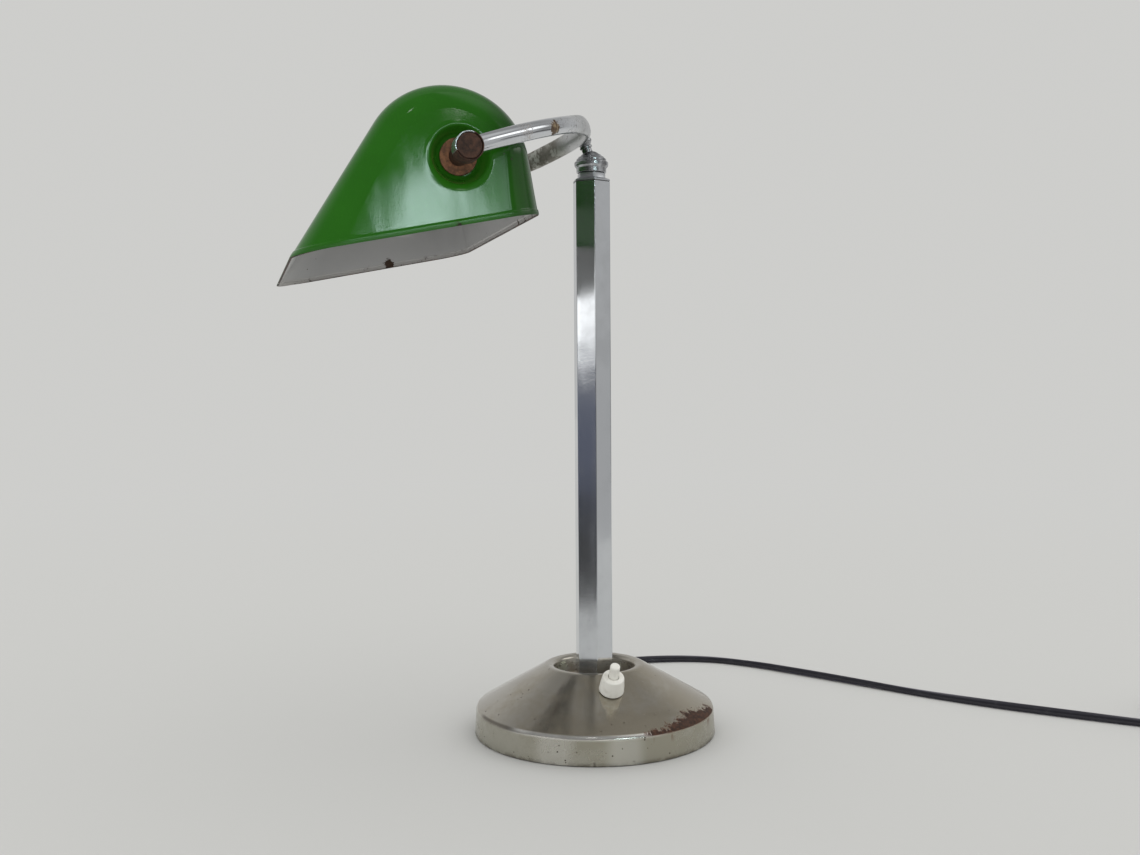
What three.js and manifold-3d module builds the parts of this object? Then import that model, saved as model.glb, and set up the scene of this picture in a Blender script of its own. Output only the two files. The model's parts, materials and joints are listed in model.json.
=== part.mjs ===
// Desk lamp with a hexagonal column, a ball joint, a bowed yoke and a tilting enamelled shade.
// Millimetres, +Z up. The origin is the centre of the underside of the base, on the desk.
// The shade reaches forward along -Y, and it tilts about an axis along X.

import * as THREE from 'three';
import { mergeVertices } from 'three/addons/utils/BufferGeometryUtils.js';
import Module from 'manifold-3d';

const wasm = await Module();
wasm.setup();

// ---------------------------------------------------------------- driving dimensions

const gap = 0.3; // between pieces that touch
const bite = 0.5; // by which solids that are joined into one piece run into each other
const facets = { large: 36, medium: 20, small: 12, tiny: 8 }; // round a full turn

const base = {
  radius: 80, rimLift: 0.4, rimHeight: 18, rimTaper: 1, creaseRadius: 5, wall: 1.2,
  crestRadius: 31.96, crestHeight: 45.3, lipRadius: 27, lipHeight: 44.5, wellRadius: 24.5, wellFloor: 32,
};
const bends = { rim: base.creaseRadius, crest: 4, lip: 2.8, floor: 3 };
const felt = { thickness: 1.6, margin: 1 };
const cover = { thickness: 1.2, margin: 0.7 };
const ballast = {
  top: 14, margin: 2.1, chamfer: 2, recessRadius: 13, recessDepth: 6.5, seatWidth: 8, slotWidth: 11.6,
  slotHeight: 11, slotOverlap: 4,
};
const coverScrew = { radius: 2, headRadius: 4, headDepth: 2, length: 9.5, circle: 60, count: 3 };

const column = { across: 22.5, wall: 1.2, cornerRadius: 0.9, top: 363.9, turn: -7.5 };
const plugFit = { length: 14, headLength: 22 };
const tie = { radius: 5, bore: 3.4, bottom: 3.9, engagement: 10 };
const footNut = { across: 17, height: 4.4, washerRadius: 10, washerThickness: 1.2 };

const ball = { radius: 7.8 };
const collar = {
  height: 2.3, chamfer: 1.1, neckRadius: 9.6, neckHeight: 3.4, spigotRadius: 8.3, spigotHeight: 2.6,
};
const cap = {
  ballSeat: 6.6, skirtRadius: 9.8, skirtHeight: 2.6, beadRadius: 11.1, beadRound: 1.1, beadHeight: 5.7,
  tierRadius: 9.8, tierHeight: 7.9, shoulderRadius: 8.7, shoulderHeight: 9.7, stepRadius: 7.6, stepHeight: 10.5,
  mouthRadius: 6.3, mouthWall: 0.3, threadHeight: 6,
};
const cup = { radius: 6.75, height: 7.2, dish: 3, rim: 0.5, bore: 2.6, boreRadius: 7.1 };
const cupSpring = { wire: 0.55, turns: 4, space: 9 };
const stem = { radius: 3.3, bore: 1.9, flareRadius: 5.2, flareStart: 10.4, top: 15.6 };

const bow = {
  lean: 20.16, rise: 18.6, reach: 109.8, tubeRadius: 5, wall: 1.2,
  ovalHeight: 6.25, ovalThickness: 3.3, ovalFrom: 98, ovalTo: 52,
  armAngle: 73, armShare: 0.58, apexShare: 0.45,
};
const barrel = { radius: 7.75, length: 12, plugRadius: 6.8, plugThickness: 1.6, lip: 0.25, bore: 5 };
const pivot = { radius: 4.7, neckRadius: 5.4, bore: 3.2, inboard: 7.4, engagement: 7, standOff: 15.3 };
const washer = { radius: 10.3, thickness: 1.4, innerRadius: 9, innerThickness: 1.4 };
const pivotNut = { across: 15, height: 5.2 };

const shade = {
  tilt: 10.9, wall: 1.2, crownForward: 5.5, crownDrop: 4.8, back: 41, front: 98.6, mouthDrop: 37.5,
  halfWidth: 121.5, draft: 3.5, edgeRadius: 16, cornerRadius: 21, hemWidth: 3.6, hemStep: 0.6,
};
const recess = { radius: 16.2, floorRadius: 12, depth: 7, bend: 1.6, flare: 2 };

const holder = {
  neckRadius: 11, neckLength: 7, radius: 18, shoulder: 6, edge: 1, length: 42, floor: 6.5, cavity: 15.2,
};
const sleeve = { thickness: 0.7, length: 26, inset: 0.5 };
const contact = { radius: 5, thickness: 1.2, tipRadius: 2.8, tipLength: 3.4, proud: 2.4 };
const bulb = {
  capRadius: 13.5, capLength: 23, capWall: 0.5, capTaper: 4, endRadius: 7, thread: 0.8, threadPitch: 5,
  neckDepth: 6, shoulder: 7, glassRadius: 15, glassLength: 122, glassWall: 0.9,
};

const pushSwitch = {
  turn: -3, fromCrest: 13.04, collarRadius: 8, collarTop: 6.75, collarHeight: 12, bodyRadius: 7.6, bodyDepth: 17,
  neckRadius: 4.9, neckHeight: 6, bore: 3.9, plungerRadius: 3.15, plungerOut: 9.4, flangeRadius: 3.65,
  flangeThickness: 2, pinRadius: 1.7, pinLength: 8, wire: 0.35, springRadius: 2.75, springTurns: 7,
};

const cord = { radius: 3, exitHeight: 8.6, holeRadius: 4.6 };
const grommet = { flangeRadius: 6.4, flange: 1.8, sleeveRadius: 5, tipRadius: 4, length: 22, inside: 1.4, snap: 0.9 };
const coil = { x: 110.6, y: 421.6, inner: 26, outer: 44.5, height: 12 };
const mainsPlug = {
  length: 35, width: 26, noseWidth: 15, flare: 9, thickness: 13.7, edge: 2,
  pinRadius: 2, pinLength: 19, pinTaper: 2, pinEnd: 1.4, pinSpacing: 18.6,
};

// The cord's centre line on the desk, from the grommet to the coil, chosen by hand.
const cordRoute = [
  [-103.6, 0, 8.6], [-112, 0.4, 7.4], [-122, 2.6, 5], [-133, 7.6, 3.3], [-144, 16, 3], [-154, 29, 3],
  [-161.5, 46, 3], [-165.5, 66, 3], [-166.5, 87, 3], [-165, 106, 3], [-160, 128, 3], [-149, 150, 3],
  [-127, 172, 3], [-95, 195, 3], [-52, 224, 3], [-2, 258, 3], [36, 288, 3], [67, 317, 3], [98, 349, 3],
  [122.75, 376.2, 3],
];
const cordTail = { radius: 25, x: -15, y: -6, from: 120, to: 270, start: 15.4 };

// ---------------------------------------------------------------- shared geometry

const rad = THREE.MathUtils.degToRad;
const at = (x, y) => new THREE.Vector2(x, y);

// Reverses the faces of a closed mesh that encloses a negative volume.
function facingOut(geometry) {
  const merged = mergeVertices(bare(geometry), 1e-5);
  const p = merged.attributes.position;
  const index = merged.index.array;
  const [a, b, c] = [new THREE.Vector3(), new THREE.Vector3(), new THREE.Vector3()];
  let volume = 0;
  const kept = [];
  for (let i = 0; i < index.length; i += 3) {
    const [ia, ib, ic] = [index[i], index[i + 1], index[i + 2]];
    if (ia === ib || ib === ic || ia === ic) continue;
    kept.push(ia, ib, ic);
    a.fromBufferAttribute(p, ia);
    b.fromBufferAttribute(p, ib);
    c.fromBufferAttribute(p, ic);
    volume += a.dot(b.cross(c));
  }
  if (volume < 0) kept.reverse();
  merged.setIndex(kept);
  return merged;
}

function bare(geometry) {
  const copy = geometry.clone();
  copy.deleteAttribute('normal');
  copy.deleteAttribute('uv');
  return copy;
}

function toSolid(geometry) {
  const closed = facingOut(geometry);
  return new wasm.Manifold(new wasm.Mesh({
    numProp: 3,
    vertProperties: new Float32Array(closed.attributes.position.array),
    triVerts: new Uint32Array(closed.index.array),
  }));
}

function fromSolid(solid) {
  const mesh = solid.getMesh();
  const geometry = new THREE.BufferGeometry();
  geometry.setAttribute('position', new THREE.BufferAttribute(new Float32Array(mesh.vertProperties), 3));
  geometry.setIndex(new THREE.BufferAttribute(new Uint32Array(mesh.triVerts), 1));
  return geometry;
}

const cut = (body, ...tools) => fromSolid(tools.reduce((s, t) => s.subtract(toSolid(t)), toSolid(body)));
const join = (body, ...others) => fromSolid(others.reduce((s, t) => s.add(toSolid(t)), toSolid(body)));
const common = (body, other) => fromSolid(toSolid(body).intersect(toSolid(other)));

// Rounds the inner corners of an open line; radii holds one radius for each corner.
function rounded(points, radii, steps = 4) {
  const line = [points[0]];
  for (let i = 1; i < points.length - 1; i++) {
    const radius = radii[i - 1];
    const before = points[i - 1].clone().sub(points[i]).normalize();
    const after = points[i + 1].clone().sub(points[i]).normalize();
    const half = Math.acos(THREE.MathUtils.clamp(before.dot(after), -1, 1)) / 2;
    if (!radius || half > 1.55) {
      line.push(points[i]);
      continue;
    }
    const reach = radius / Math.tan(half);
    const centre = before.clone().add(after).normalize().multiplyScalar(radius / Math.sin(half)).add(points[i]);
    const start = before.multiplyScalar(reach).add(points[i]).sub(centre);
    const end = after.multiplyScalar(reach).add(points[i]).sub(centre);
    let sweep = end.angle() - start.angle();
    if (sweep > Math.PI) sweep -= 2 * Math.PI;
    if (sweep < -Math.PI) sweep += 2 * Math.PI;
    for (let k = 0; k <= steps; k++) {
      line.push(start.clone().rotateAround(at(0, 0), (sweep * k) / steps).add(centre));
    }
  }
  line.push(points[points.length - 1]);
  return line;
}

// A line moved sideways by a distance; positive is to the left of its direction.
function beside(line, distance) {
  return line.map((point, i) => {
    const before = point.clone().sub(line[Math.max(i - 1, 0)]);
    const after = line[Math.min(i + 1, line.length - 1)].clone().sub(point);
    if (!before.lengthSq()) before.copy(after);
    if (!after.lengthSq()) after.copy(before);
    const across = before.normalize().add(after.normalize()).normalize();
    const stretch = distance / Math.max(across.dot(after), 0.5);
    return at(point.x - across.y * stretch, point.y + across.x * stretch);
  });
}

// A body of revolution about Z from a closed outline of [radius, height] points.
function turned(outline, segments = facets.small) {
  const points = outline.map((p) => (p.isVector2 ? p.clone() : at(p[0], p[1])));
  if (points[0].x > 0 || points[points.length - 1].x > 0) points.push(points[0].clone());
  return facingOut(new THREE.LatheGeometry(points, segments).rotateX(Math.PI / 2));
}

const rod = (radius, from, to, segments = facets.small) =>
  turned([[0, from], [radius, from], [radius, to], [0, to]], segments);
const ring = (inner, outer, from, to, segments = facets.small) =>
  turned([[inner, from], [outer, from], [outer, to], [inner, to]], segments);

function arc(radius, centreHeight, from, to, steps) {
  const points = [];
  for (let i = 0; i <= steps; i++) {
    const angle = rad(from + ((to - from) * i) / steps);
    points.push([radius * Math.cos(angle), centreHeight + radius * Math.sin(angle)]);
  }
  return points;
}

// A regular hexagon with rounded corners, as a closed outline.
function hexagon(across, cornerRadius = 0, steps = 3) {
  const inset = across / 2 - cornerRadius;
  const points = [];
  for (let side = 0; side < 6; side++) {
    const corner = at(inset / Math.cos(Math.PI / 6), 0).rotateAround(at(0, 0), (side * Math.PI) / 3);
    if (!cornerRadius) {
      points.push(corner);
      continue;
    }
    for (let k = 0; k <= steps; k++) {
      const angle = (side * Math.PI) / 3 + (Math.PI / 3) * (k / steps - 0.5);
      points.push(at(cornerRadius, 0).rotateAround(at(0, 0), angle).add(corner));
    }
  }
  return points;
}

function prism(outline, from, to, hole) {
  const shape = new THREE.Shape(outline);
  if (hole) shape.holes.push(new THREE.Path(hole));
  return new THREE.ExtrudeGeometry(shape, { depth: to - from, bevelEnabled: false, steps: 1 }).translate(0, 0, from);
}

function block(x, y, z) {
  const geometry = new THREE.BoxGeometry(x[1] - x[0], y[1] - y[0], z[1] - z[0]);
  return geometry.translate((x[0] + x[1]) / 2, (y[0] + y[1]) / 2, (z[0] + z[1]) / 2);
}

// A tube or wire of a round section with flat sides, swept along a curve.
function swept(curve, radius, sides, steps) {
  const points = [];
  for (let i = 0; i < sides; i++) {
    points.push(at(radius, 0).rotateAround(at(0, 0), (2 * Math.PI * (i + 0.5)) / sides));
  }
  return new THREE.ExtrudeGeometry(new THREE.Shape(points), { extrudePath: curve, steps, bevelEnabled: false });
}

// A coil spring about Z whose ends close up flat against their seats.
class Helix extends THREE.Curve {
  constructor(radius, from, to, turns) {
    super();
    Object.assign(this, { radius, from, to, turns });
  }

  getPoint(t, target = new THREE.Vector3()) {
    const angle = 2 * Math.PI * this.turns * t;
    const z = this.from + (this.to - this.from) * THREE.MathUtils.smoothstep(t, -0.08, 1.08);
    return target.set(this.radius * Math.cos(angle), this.radius * Math.sin(angle), z);
  }
}

function springWire(radius, wire, from, to, turns) {
  const coilCurve = new Helix(radius, from + wire, to - wire, turns);
  return swept(coilCurve, wire * 0.95, 5, Math.round(turns * 7));
}

// A closed skin over rings of points that all hold the same number of points.
function loft(rings, closedLoop = false) {
  const count = rings[0].length;
  const positions = rings.flat().flatMap((p) => [p.x, p.y, p.z]);
  const index = [];
  const last = closedLoop ? rings.length : rings.length - 1;
  for (let j = 0; j < last; j++) {
    const next = (j + 1) % rings.length;
    for (let i = 0; i < count; i++) {
      const [a, b] = [j * count + i, j * count + ((i + 1) % count)];
      const [c, d] = [next * count + i, next * count + ((i + 1) % count)];
      index.push(a, b, d, a, d, c);
    }
  }
  if (!closedLoop) {
    for (const [ring0, flip] of [[0, false], [rings.length - 1, true]]) {
      const middle = rings[ring0].reduce((s, p) => s.add(p), new THREE.Vector3()).divideScalar(count);
      const hub = positions.length / 3;
      positions.push(middle.x, middle.y, middle.z);
      for (let i = 0; i < count; i++) {
        const [a, b] = [ring0 * count + i, ring0 * count + ((i + 1) % count)];
        index.push(...(flip ? [hub, a, b] : [hub, b, a]));
      }
    }
  }
  const geometry = new THREE.BufferGeometry();
  geometry.setAttribute('position', new THREE.Float32BufferAttribute(positions, 3));
  geometry.setIndex(index);
  return facingOut(geometry);
}

// ---------------------------------------------------------------- materials

const finish = (color, metalness, roughness) => ({ color, metalness, roughness });
const finishes = {
  nickel: finish(0xa9a294, 1, 0.32),
  chrome: finish(0xc9ccd0, 1, 0.16),
  steel: finish(0x8d8f92, 1, 0.4),
  rustySteel: finish(0x6b3b2b, 0.5, 0.75),
  castIron: finish(0x3b3b3c, 0.8, 0.7),
  brass: finish(0xb8954a, 1, 0.3),
  felt: finish(0x25402e, 0, 1),
  enamel: finish(0x1f6b22, 0, 0.15),
  ivory: finish(0xe9e6da, 0, 0.35),
  bakelite: finish(0x2a211c, 0, 0.4),
  fibre: finish(0x5a4632, 0, 0.8),
  porcelain: finish(0xefece4, 0, 0.2),
  bulbGlass: finish(0xf3f2ec, 0, 0.25),
  cordBlack: finish(0x17161c, 0, 0.5),
  plugBlack: finish(0x151515, 0, 0.35),
};

function piece(name, geometry, kind) {
  const mesh = new THREE.Mesh(facingOut(geometry), new THREE.MeshStandardMaterial(finishes[kind]));
  mesh.geometry.computeVertexNormals();
  mesh.name = name;
  return mesh;
}

// Turns a body made about Z so that its axis lies along +X or, for side -1, along -X.
const alongX = (geometry, side) => geometry.clone().rotateY((side * Math.PI) / 2);

const hexNut = (across, bore, from, to) => {
  const bevel = across / 2 / Math.cos(Math.PI / 6);
  const bounds = turned([
    [0, from], [across / 2, from], [bevel, from + 0.6], [bevel, to - 0.6], [across / 2, to], [0, to],
  ]);
  return cut(common(prism(hexagon(across), from, to), bounds), rod(bore, from - 1, to + 1));
};

// ---------------------------------------------------------------- base

const rimTop = base.radius - base.rimTaper;
const coneSlope = (base.crestHeight - base.rimHeight) / (rimTop - base.crestRadius);
const coneTilt = Math.atan(coneSlope);
const coneHeight = (radius) => base.rimHeight + (rimTop - radius) * coneSlope;
const coneUnderside = (radius) => coneHeight(radius) - (base.wall + gap) / Math.cos(coneTilt);

const coverBottom = felt.thickness + gap;
const coverTop = coverBottom + cover.thickness;
const ballastBottom = coverTop + gap;
const tieHole = tie.radius + gap;

const switchCircle = base.crestRadius + pushSwitch.fromCrest;

// A frame on the cone for the switch: its own Z points out of the cone.
function onCone(...meshes) {
  const seat = new THREE.Group();
  seat.position.set(switchCircle, 0, coneHeight(switchCircle));
  seat.rotation.y = coneTilt;
  seat.add(...meshes);
  const turn = new THREE.Group();
  turn.rotation.z = rad(pushSwitch.turn);
  turn.add(seat);
  return turn;
}

function placedOnCone(geometry) {
  return geometry.clone().rotateY(coneTilt)
    .translate(switchCircle, 0, coneHeight(switchCircle))
    .rotateZ(rad(pushSwitch.turn));
}

function baseShell() {
  const corners = [
    at(base.radius, base.rimLift), at(rimTop, base.rimHeight), at(base.crestRadius, base.crestHeight),
    at(base.lipRadius, base.lipHeight), at(base.wellRadius, base.wellFloor), at(tieHole, base.wellFloor),
  ];
  const radii = [bends.rim, bends.crest, bends.lip, bends.floor];
  const inside = beside(rounded(corners, radii, 1), base.wall).reverse();
  const sheet = turned([...rounded(corners, radii, 2), ...inside], facets.large);
  const cordHole = rod(cord.holeRadius, base.radius - 6, base.radius + 4).rotateY(-Math.PI / 2)
    .translate(0, 0, cord.exitHeight);
  const switchHole = placedOnCone(rod(pushSwitch.neckRadius + gap, -5, 5));
  return cut(sheet, cordHole, switchHole);
}

function screwAt(i, grow) {
  const tip = coverBottom + coverScrew.length;
  const r = coverScrew.radius + grow;
  const screw = turned([
    [0, coverBottom - grow], [coverScrew.headRadius + grow, coverBottom - grow],
    [r, coverBottom + coverScrew.headDepth], [r, tip + grow - 1], [0, tip + grow],
  ], facets.tiny);
  const angle = rad(90) + (2 * Math.PI * i) / coverScrew.count;
  return screw.translate(coverScrew.circle * Math.cos(angle), coverScrew.circle * Math.sin(angle), 0);
}

const screwHoles = Array.from({ length: coverScrew.count }, (_, i) => screwAt(i, gap));

function baseBallast() {
  const outer = base.radius - base.wall - ballast.margin;
  const seatTop = outer - ballast.chamfer;
  const recessTop = ballastBottom + ballast.recessDepth;
  const disc = turned([
    [tieHole, recessTop], [ballast.recessRadius, recessTop], [ballast.recessRadius, ballastBottom],
    [outer, ballastBottom], [outer, coneUnderside(seatTop) - ballast.chamfer],
    [seatTop, coneUnderside(seatTop) - gap],
    [seatTop - ballast.seatWidth, coneUnderside(seatTop - ballast.seatWidth)],
    [seatTop - ballast.seatWidth - 3, ballast.top], [tieHole, ballast.top],
  ], facets.large);
  const slot = block([-base.radius, ballast.slotOverlap - ballast.recessRadius],
    [-ballast.slotWidth / 2, ballast.slotWidth / 2], [ballastBottom - 1, ballastBottom + ballast.slotHeight]);
  return cut(disc, slot, ...screwHoles);
}

const feltRadius = base.radius - base.wall - felt.margin;
const coverRadius = base.radius - base.wall - cover.margin;
const recessCeiling = ballastBottom + ballast.recessDepth;
const washerTop = recessCeiling - gap;
const washerBottom = washerTop - footNut.washerThickness;
const nutTop = washerBottom - gap;

const basePieces = [
  piece('base_shell', baseShell(), 'nickel'),
  piece('base_ballast', baseBallast(), 'castIron'),
  piece('base_cover', cut(rod(coverRadius, coverBottom, coverTop, facets.large), ...screwHoles), 'steel'),
  piece('base_felt', rod(feltRadius, 0, felt.thickness, facets.large), 'felt'),
  ...screwHoles.map((_, i) => piece(`cover_screw_${i + 1}`, screwAt(i, 0), 'steel')),
  piece('foot_washer', ring(tieHole, footNut.washerRadius, washerBottom, washerTop), 'steel'),
  piece('foot_nut', hexNut(footNut.across, tieHole, nutTop - footNut.height, nutTop), 'brass'),
];

// ---------------------------------------------------------------- push switch in the cone

const collarLedge = pushSwitch.neckHeight + 1;
const flangeTop = collarLedge - gap;
const flangeBottom = flangeTop - pushSwitch.flangeThickness;

function switchBody() {
  const s = pushSwitch;
  const sag = (s.bodyRadius ** 2 * Math.sin(coneTilt)) / (2 * switchCircle); // of the cone across the body
  const shoulder = -base.wall - gap - sag;
  return turned([
    [0, -s.bodyDepth], [s.bodyRadius, -s.bodyDepth], [s.bodyRadius, shoulder], [s.neckRadius, shoulder],
    [s.neckRadius, s.neckHeight], [s.bore, s.neckHeight], [s.bore, 2 - s.bodyDepth], [0, 2 - s.bodyDepth],
  ]);
}

function switchCollar() {
  const s = pushSwitch;
  const outer = rounded([
    at(s.collarRadius - 0.4, gap), at(s.collarRadius, 1), at(s.collarRadius - 0.5, 4.5),
    at(s.collarTop, s.collarHeight), at(s.plungerRadius + gap, s.collarHeight),
  ], [0, 0, 1.2], 3);
  return turned([
    ...outer, [s.plungerRadius + gap, collarLedge], [s.neckRadius + gap, collarLedge], [s.neckRadius + gap, gap],
  ]);
}

function switchPlunger() {
  const s = pushSwitch;
  const top = s.collarHeight + s.plungerOut;
  return turned([
    [0, flangeBottom - s.pinLength], [s.pinRadius, flangeBottom - s.pinLength], [s.pinRadius, flangeBottom],
    [s.flangeRadius, flangeBottom], [s.flangeRadius, flangeTop], [s.plungerRadius, flangeTop],
    ...arc(s.plungerRadius, top - s.plungerRadius, 0, 90, 5).slice(0, 5), [0, top],
  ]);
}

const springFloor = 2 - pushSwitch.bodyDepth + gap;
const switchPieces = onCone(
  piece('switch_body', switchBody(), 'bakelite'),
  piece('switch_collar', switchCollar(), 'ivory'),
  piece('switch_plunger', switchPlunger(), 'ivory'),
  piece('switch_spring', springWire(pushSwitch.springRadius, pushSwitch.wire, springFloor, flangeBottom - gap,
    pushSwitch.springTurns), 'steel'),
);

// ---------------------------------------------------------------- column

const columnFoot = base.wellFloor + gap;
const insertAcross = column.across - 2 * column.wall - 2 * gap;
const headFoot = column.top - plugFit.headLength;
const capBottom = column.top + gap + collar.height + collar.neckHeight + gap;
const ballHeight = capBottom + cap.ballSeat;
const cupBottom = ballHeight - ball.radius - cup.height + cup.dish;
const springSeat = cupBottom - cupSpring.space;
const boreAcross = column.across - 2 * column.wall;

function columnPlug() {
  const top = columnFoot + plugFit.length;
  const plug = prism(hexagon(insertAcross, column.cornerRadius), columnFoot, top);
  return cut(plug, rod(tieHole, columnFoot - 1, top + 1));
}

function columnHead() {
  const collarBottom = column.top + gap;
  const collarTop = collarBottom + collar.height;
  const neckTop = collarTop + collar.neckHeight;
  const corner = column.across / 2 / Math.cos(Math.PI / 6);
  const chamfer = turned([
    [0, collarBottom], [corner, collarBottom], [corner, collarTop - collar.chamfer],
    [collar.neckRadius + bite, collarTop],
    [0, collarTop],
  ], facets.medium);
  const body = join(
    prism(hexagon(insertAcross, column.cornerRadius), headFoot, collarBottom + bite),
    common(prism(hexagon(column.across, column.cornerRadius), collarBottom, collarTop), chamfer),
    rod(collar.neckRadius, collarTop - bite, neckTop, facets.medium),
    rod(collar.spigotRadius, neckTop - bite, neckTop + collar.spigotHeight),
  );
  return cut(body, rod(tieHole, headFoot - 1, springSeat + 1), rod(cup.boreRadius, springSeat, ballHeight));
}

// A stepped cap: skirt, bead, tier and a thin mouth that holds the ball down.
function jointCap() {
  const socket = ball.radius + gap;
  const thread = collar.spigotRadius + gap;
  const mouth = Math.acos(cap.mouthRadius / socket);
  const beadCentre = cap.beadRadius - cap.beadRound;
  const bead = arc(cap.beadRound, capBottom + cap.beadHeight, -75, 75, 3);
  return turned([
    [thread, capBottom], [cap.skirtRadius, capBottom], [cap.skirtRadius, capBottom + cap.skirtHeight],
    ...bead.map(([r, z]) => [beadCentre + r, z]),
    [cap.tierRadius, capBottom + cap.tierHeight], [cap.shoulderRadius, capBottom + cap.shoulderHeight],
    [cap.stepRadius, capBottom + cap.stepHeight],
    [cap.mouthRadius, ballHeight + socket * Math.sin(mouth) + cap.mouthWall],
    ...arc(socket, ballHeight, THREE.MathUtils.radToDeg(mouth), 4, 3),
    [thread, capBottom + cap.threadHeight],
  ], facets.medium);
}

function frictionCup() {
  const seat = ball.radius + gap;
  const rimAngle = -THREE.MathUtils.radToDeg(Math.acos((cup.radius - cup.rim) / seat));
  const boreAngle = -THREE.MathUtils.radToDeg(Math.acos(cup.bore / seat));
  const dish = arc(seat, ballHeight, boreAngle, rimAngle, 4);
  return turned([[cup.bore, cupBottom], [cup.radius, cupBottom], [cup.radius, dish[4][1]], ...dish.reverse()]);
}

const columnTurn = new THREE.Group();
columnTurn.rotation.z = rad(column.turn);
columnTurn.add(
  piece('column_tube', prism(hexagon(column.across, column.cornerRadius), columnFoot, column.top,
    hexagon(boreAcross, column.cornerRadius / 2)), 'chrome'),
  piece('column_foot', columnPlug(), 'steel'),
  piece('column_head', columnHead(), 'chrome'),
);

const columnPieces = [
  piece('tie_tube', ring(tie.bore, tie.radius, tie.bottom, headFoot + tie.engagement), 'steel'),
  piece('joint_cap', jointCap(), 'chrome'),
  piece('friction_cup', frictionCup(), 'fibre'),
  piece('pressure_spring', springWire(cup.boreRadius - gap - cupSpring.wire, cupSpring.wire, springSeat + gap,
    cupBottom - gap, cupSpring.turns), 'steel'),
];

// ---------------------------------------------------------------- bow, in the frame of the ball

const capAtAxis = shade.halfWidth - shade.mouthDrop * Math.tan(rad(shade.draft));
const barrelInner = capAtAxis + pivot.standOff;
const barrelOuter = barrelInner + barrel.length;
const halfSpan = (barrelInner + barrelOuter) / 2;

// Half of the bow's centre line, from the trunnion on one side to the apex over the ball.
function bowCurve(side) {
  const inward = rad(bow.armAngle);
  const start = new THREE.Vector3(side * halfSpan, -bow.reach, bow.rise);
  const lead = new THREE.Vector3(-side * Math.cos(inward), Math.sin(inward), 0);
  lead.multiplyScalar(bow.armShare * bow.reach);
  return new THREE.CubicBezierCurve3(
    start, start.clone().add(lead),
    new THREE.Vector3(side * bow.apexShare * halfSpan, 0, bow.rise), new THREE.Vector3(0, 0, bow.rise),
  );
}

// The bow's section at a distance from the middle: round at the arms, pressed oval at the apex.
function bowSection(centre, tangent, inset, sides) {
  const oval = 1 - THREE.MathUtils.smoothstep(Math.abs(centre.x), bow.ovalTo, bow.ovalFrom);
  const height = THREE.MathUtils.lerp(bow.tubeRadius, bow.ovalHeight, oval) - inset;
  const thickness = THREE.MathUtils.lerp(bow.tubeRadius, bow.ovalThickness, oval) - inset;
  const across = new THREE.Vector3(-tangent.y, tangent.x, 0).normalize();
  return Array.from({ length: sides }, (_, i) => {
    const angle = (2 * Math.PI * i) / sides;
    return centre.clone().addScaledVector(across, thickness * Math.cos(angle))
      .add(new THREE.Vector3(0, 0, height * Math.sin(angle)));
  });
}

function bowBody(inset, overrun, sides = 12, steps = 10) {
  const [right, left] = [bowCurve(1), bowCurve(-1)];
  const stations = [];
  for (let i = 0; i <= steps; i++) stations.push([right.getPoint(i / steps), right.getTangent(i / steps)]);
  for (let i = steps - 1; i >= 0; i--) {
    stations.push([left.getPoint(i / steps), left.getTangent(i / steps).negate()]);
  }
  if (overrun) {
    for (const [end, sign] of [[0, -1], [stations.length - 1, 1]]) {
      stations[end][0] = stations[end][0].clone().addScaledVector(stations[end][1], sign * overrun);
    }
  }
  return loft(stations.map(([centre, tangent]) => bowSection(centre, tangent, inset, sides)));
}

const ontoTrunnion = (geometry, side) => alongX(geometry, side).translate(0, -bow.reach, bow.rise);

function bowTube() {
  const seat = rod(barrel.radius + gap, barrelInner - barrel.length, barrelOuter + barrel.length);
  const ends = [1, -1].map((side) => ontoTrunnion(seat, side));
  const wireHole = rod(stem.bore, bow.rise - 10, bow.rise, facets.tiny);
  return cut(bowBody(0, 0), bowBody(bow.wall, 6, 6), ...ends, wireHole);
}

function ballStud() {
  const neckAngle = THREE.MathUtils.radToDeg(Math.acos(stem.radius / ball.radius));
  const flare = rounded([
    at(stem.radius, stem.flareStart), at(stem.radius, stem.flareStart + 1.4), at(stem.flareRadius, stem.top - 2),
    at(stem.flareRadius, stem.top), at(0, stem.top),
  ], [2, 2, 0.5], 2);
  const body = turned([...arc(ball.radius, 0, -90, neckAngle, 8), ...flare]);
  return cut(body, bowBody(-gap, 0), rod(stem.bore, -ball.radius - 1, stem.top + 1, facets.tiny));
}

// ---------------------------------------------------------------- trunnions

const recessFloor = capAtAxis - recess.depth;
const recessInside = recessFloor - shade.wall;
const pivotHole = pivot.radius + gap;
const washerOutside = recessFloor + gap + washer.thickness;
const neckInner = washerOutside + gap;
const innerWasherOut = recessInside - gap;
const innerWasherIn = innerWasherOut - washer.innerThickness;
const pivotEnd = innerWasherIn - pivot.inboard;

function barrelBody() {
  const plugSeat = barrelOuter - barrel.lip - barrel.plugThickness - gap;
  const edge = 0.5;
  return turned([
    [barrel.bore, barrelInner], [barrel.radius - edge, barrelInner], [barrel.radius, barrelInner + edge],
    [barrel.radius, barrelOuter - edge], [barrel.radius - edge + 0.1, barrelOuter],
    [barrel.plugRadius + gap, barrelOuter], [barrel.plugRadius + gap, plugSeat], [barrel.bore, plugSeat],
  ], facets.medium);
}

function pivotTube() {
  const end = barrelInner + pivot.engagement;
  return turned([
    [pivot.bore, pivotEnd], [pivot.radius, pivotEnd], [pivot.radius, neckInner], [pivot.neckRadius, neckInner],
    [pivot.neckRadius, barrelInner - gap], [pivot.radius, barrelInner - gap], [pivot.radius, end],
    [pivot.bore, end],
  ]);
}

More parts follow.
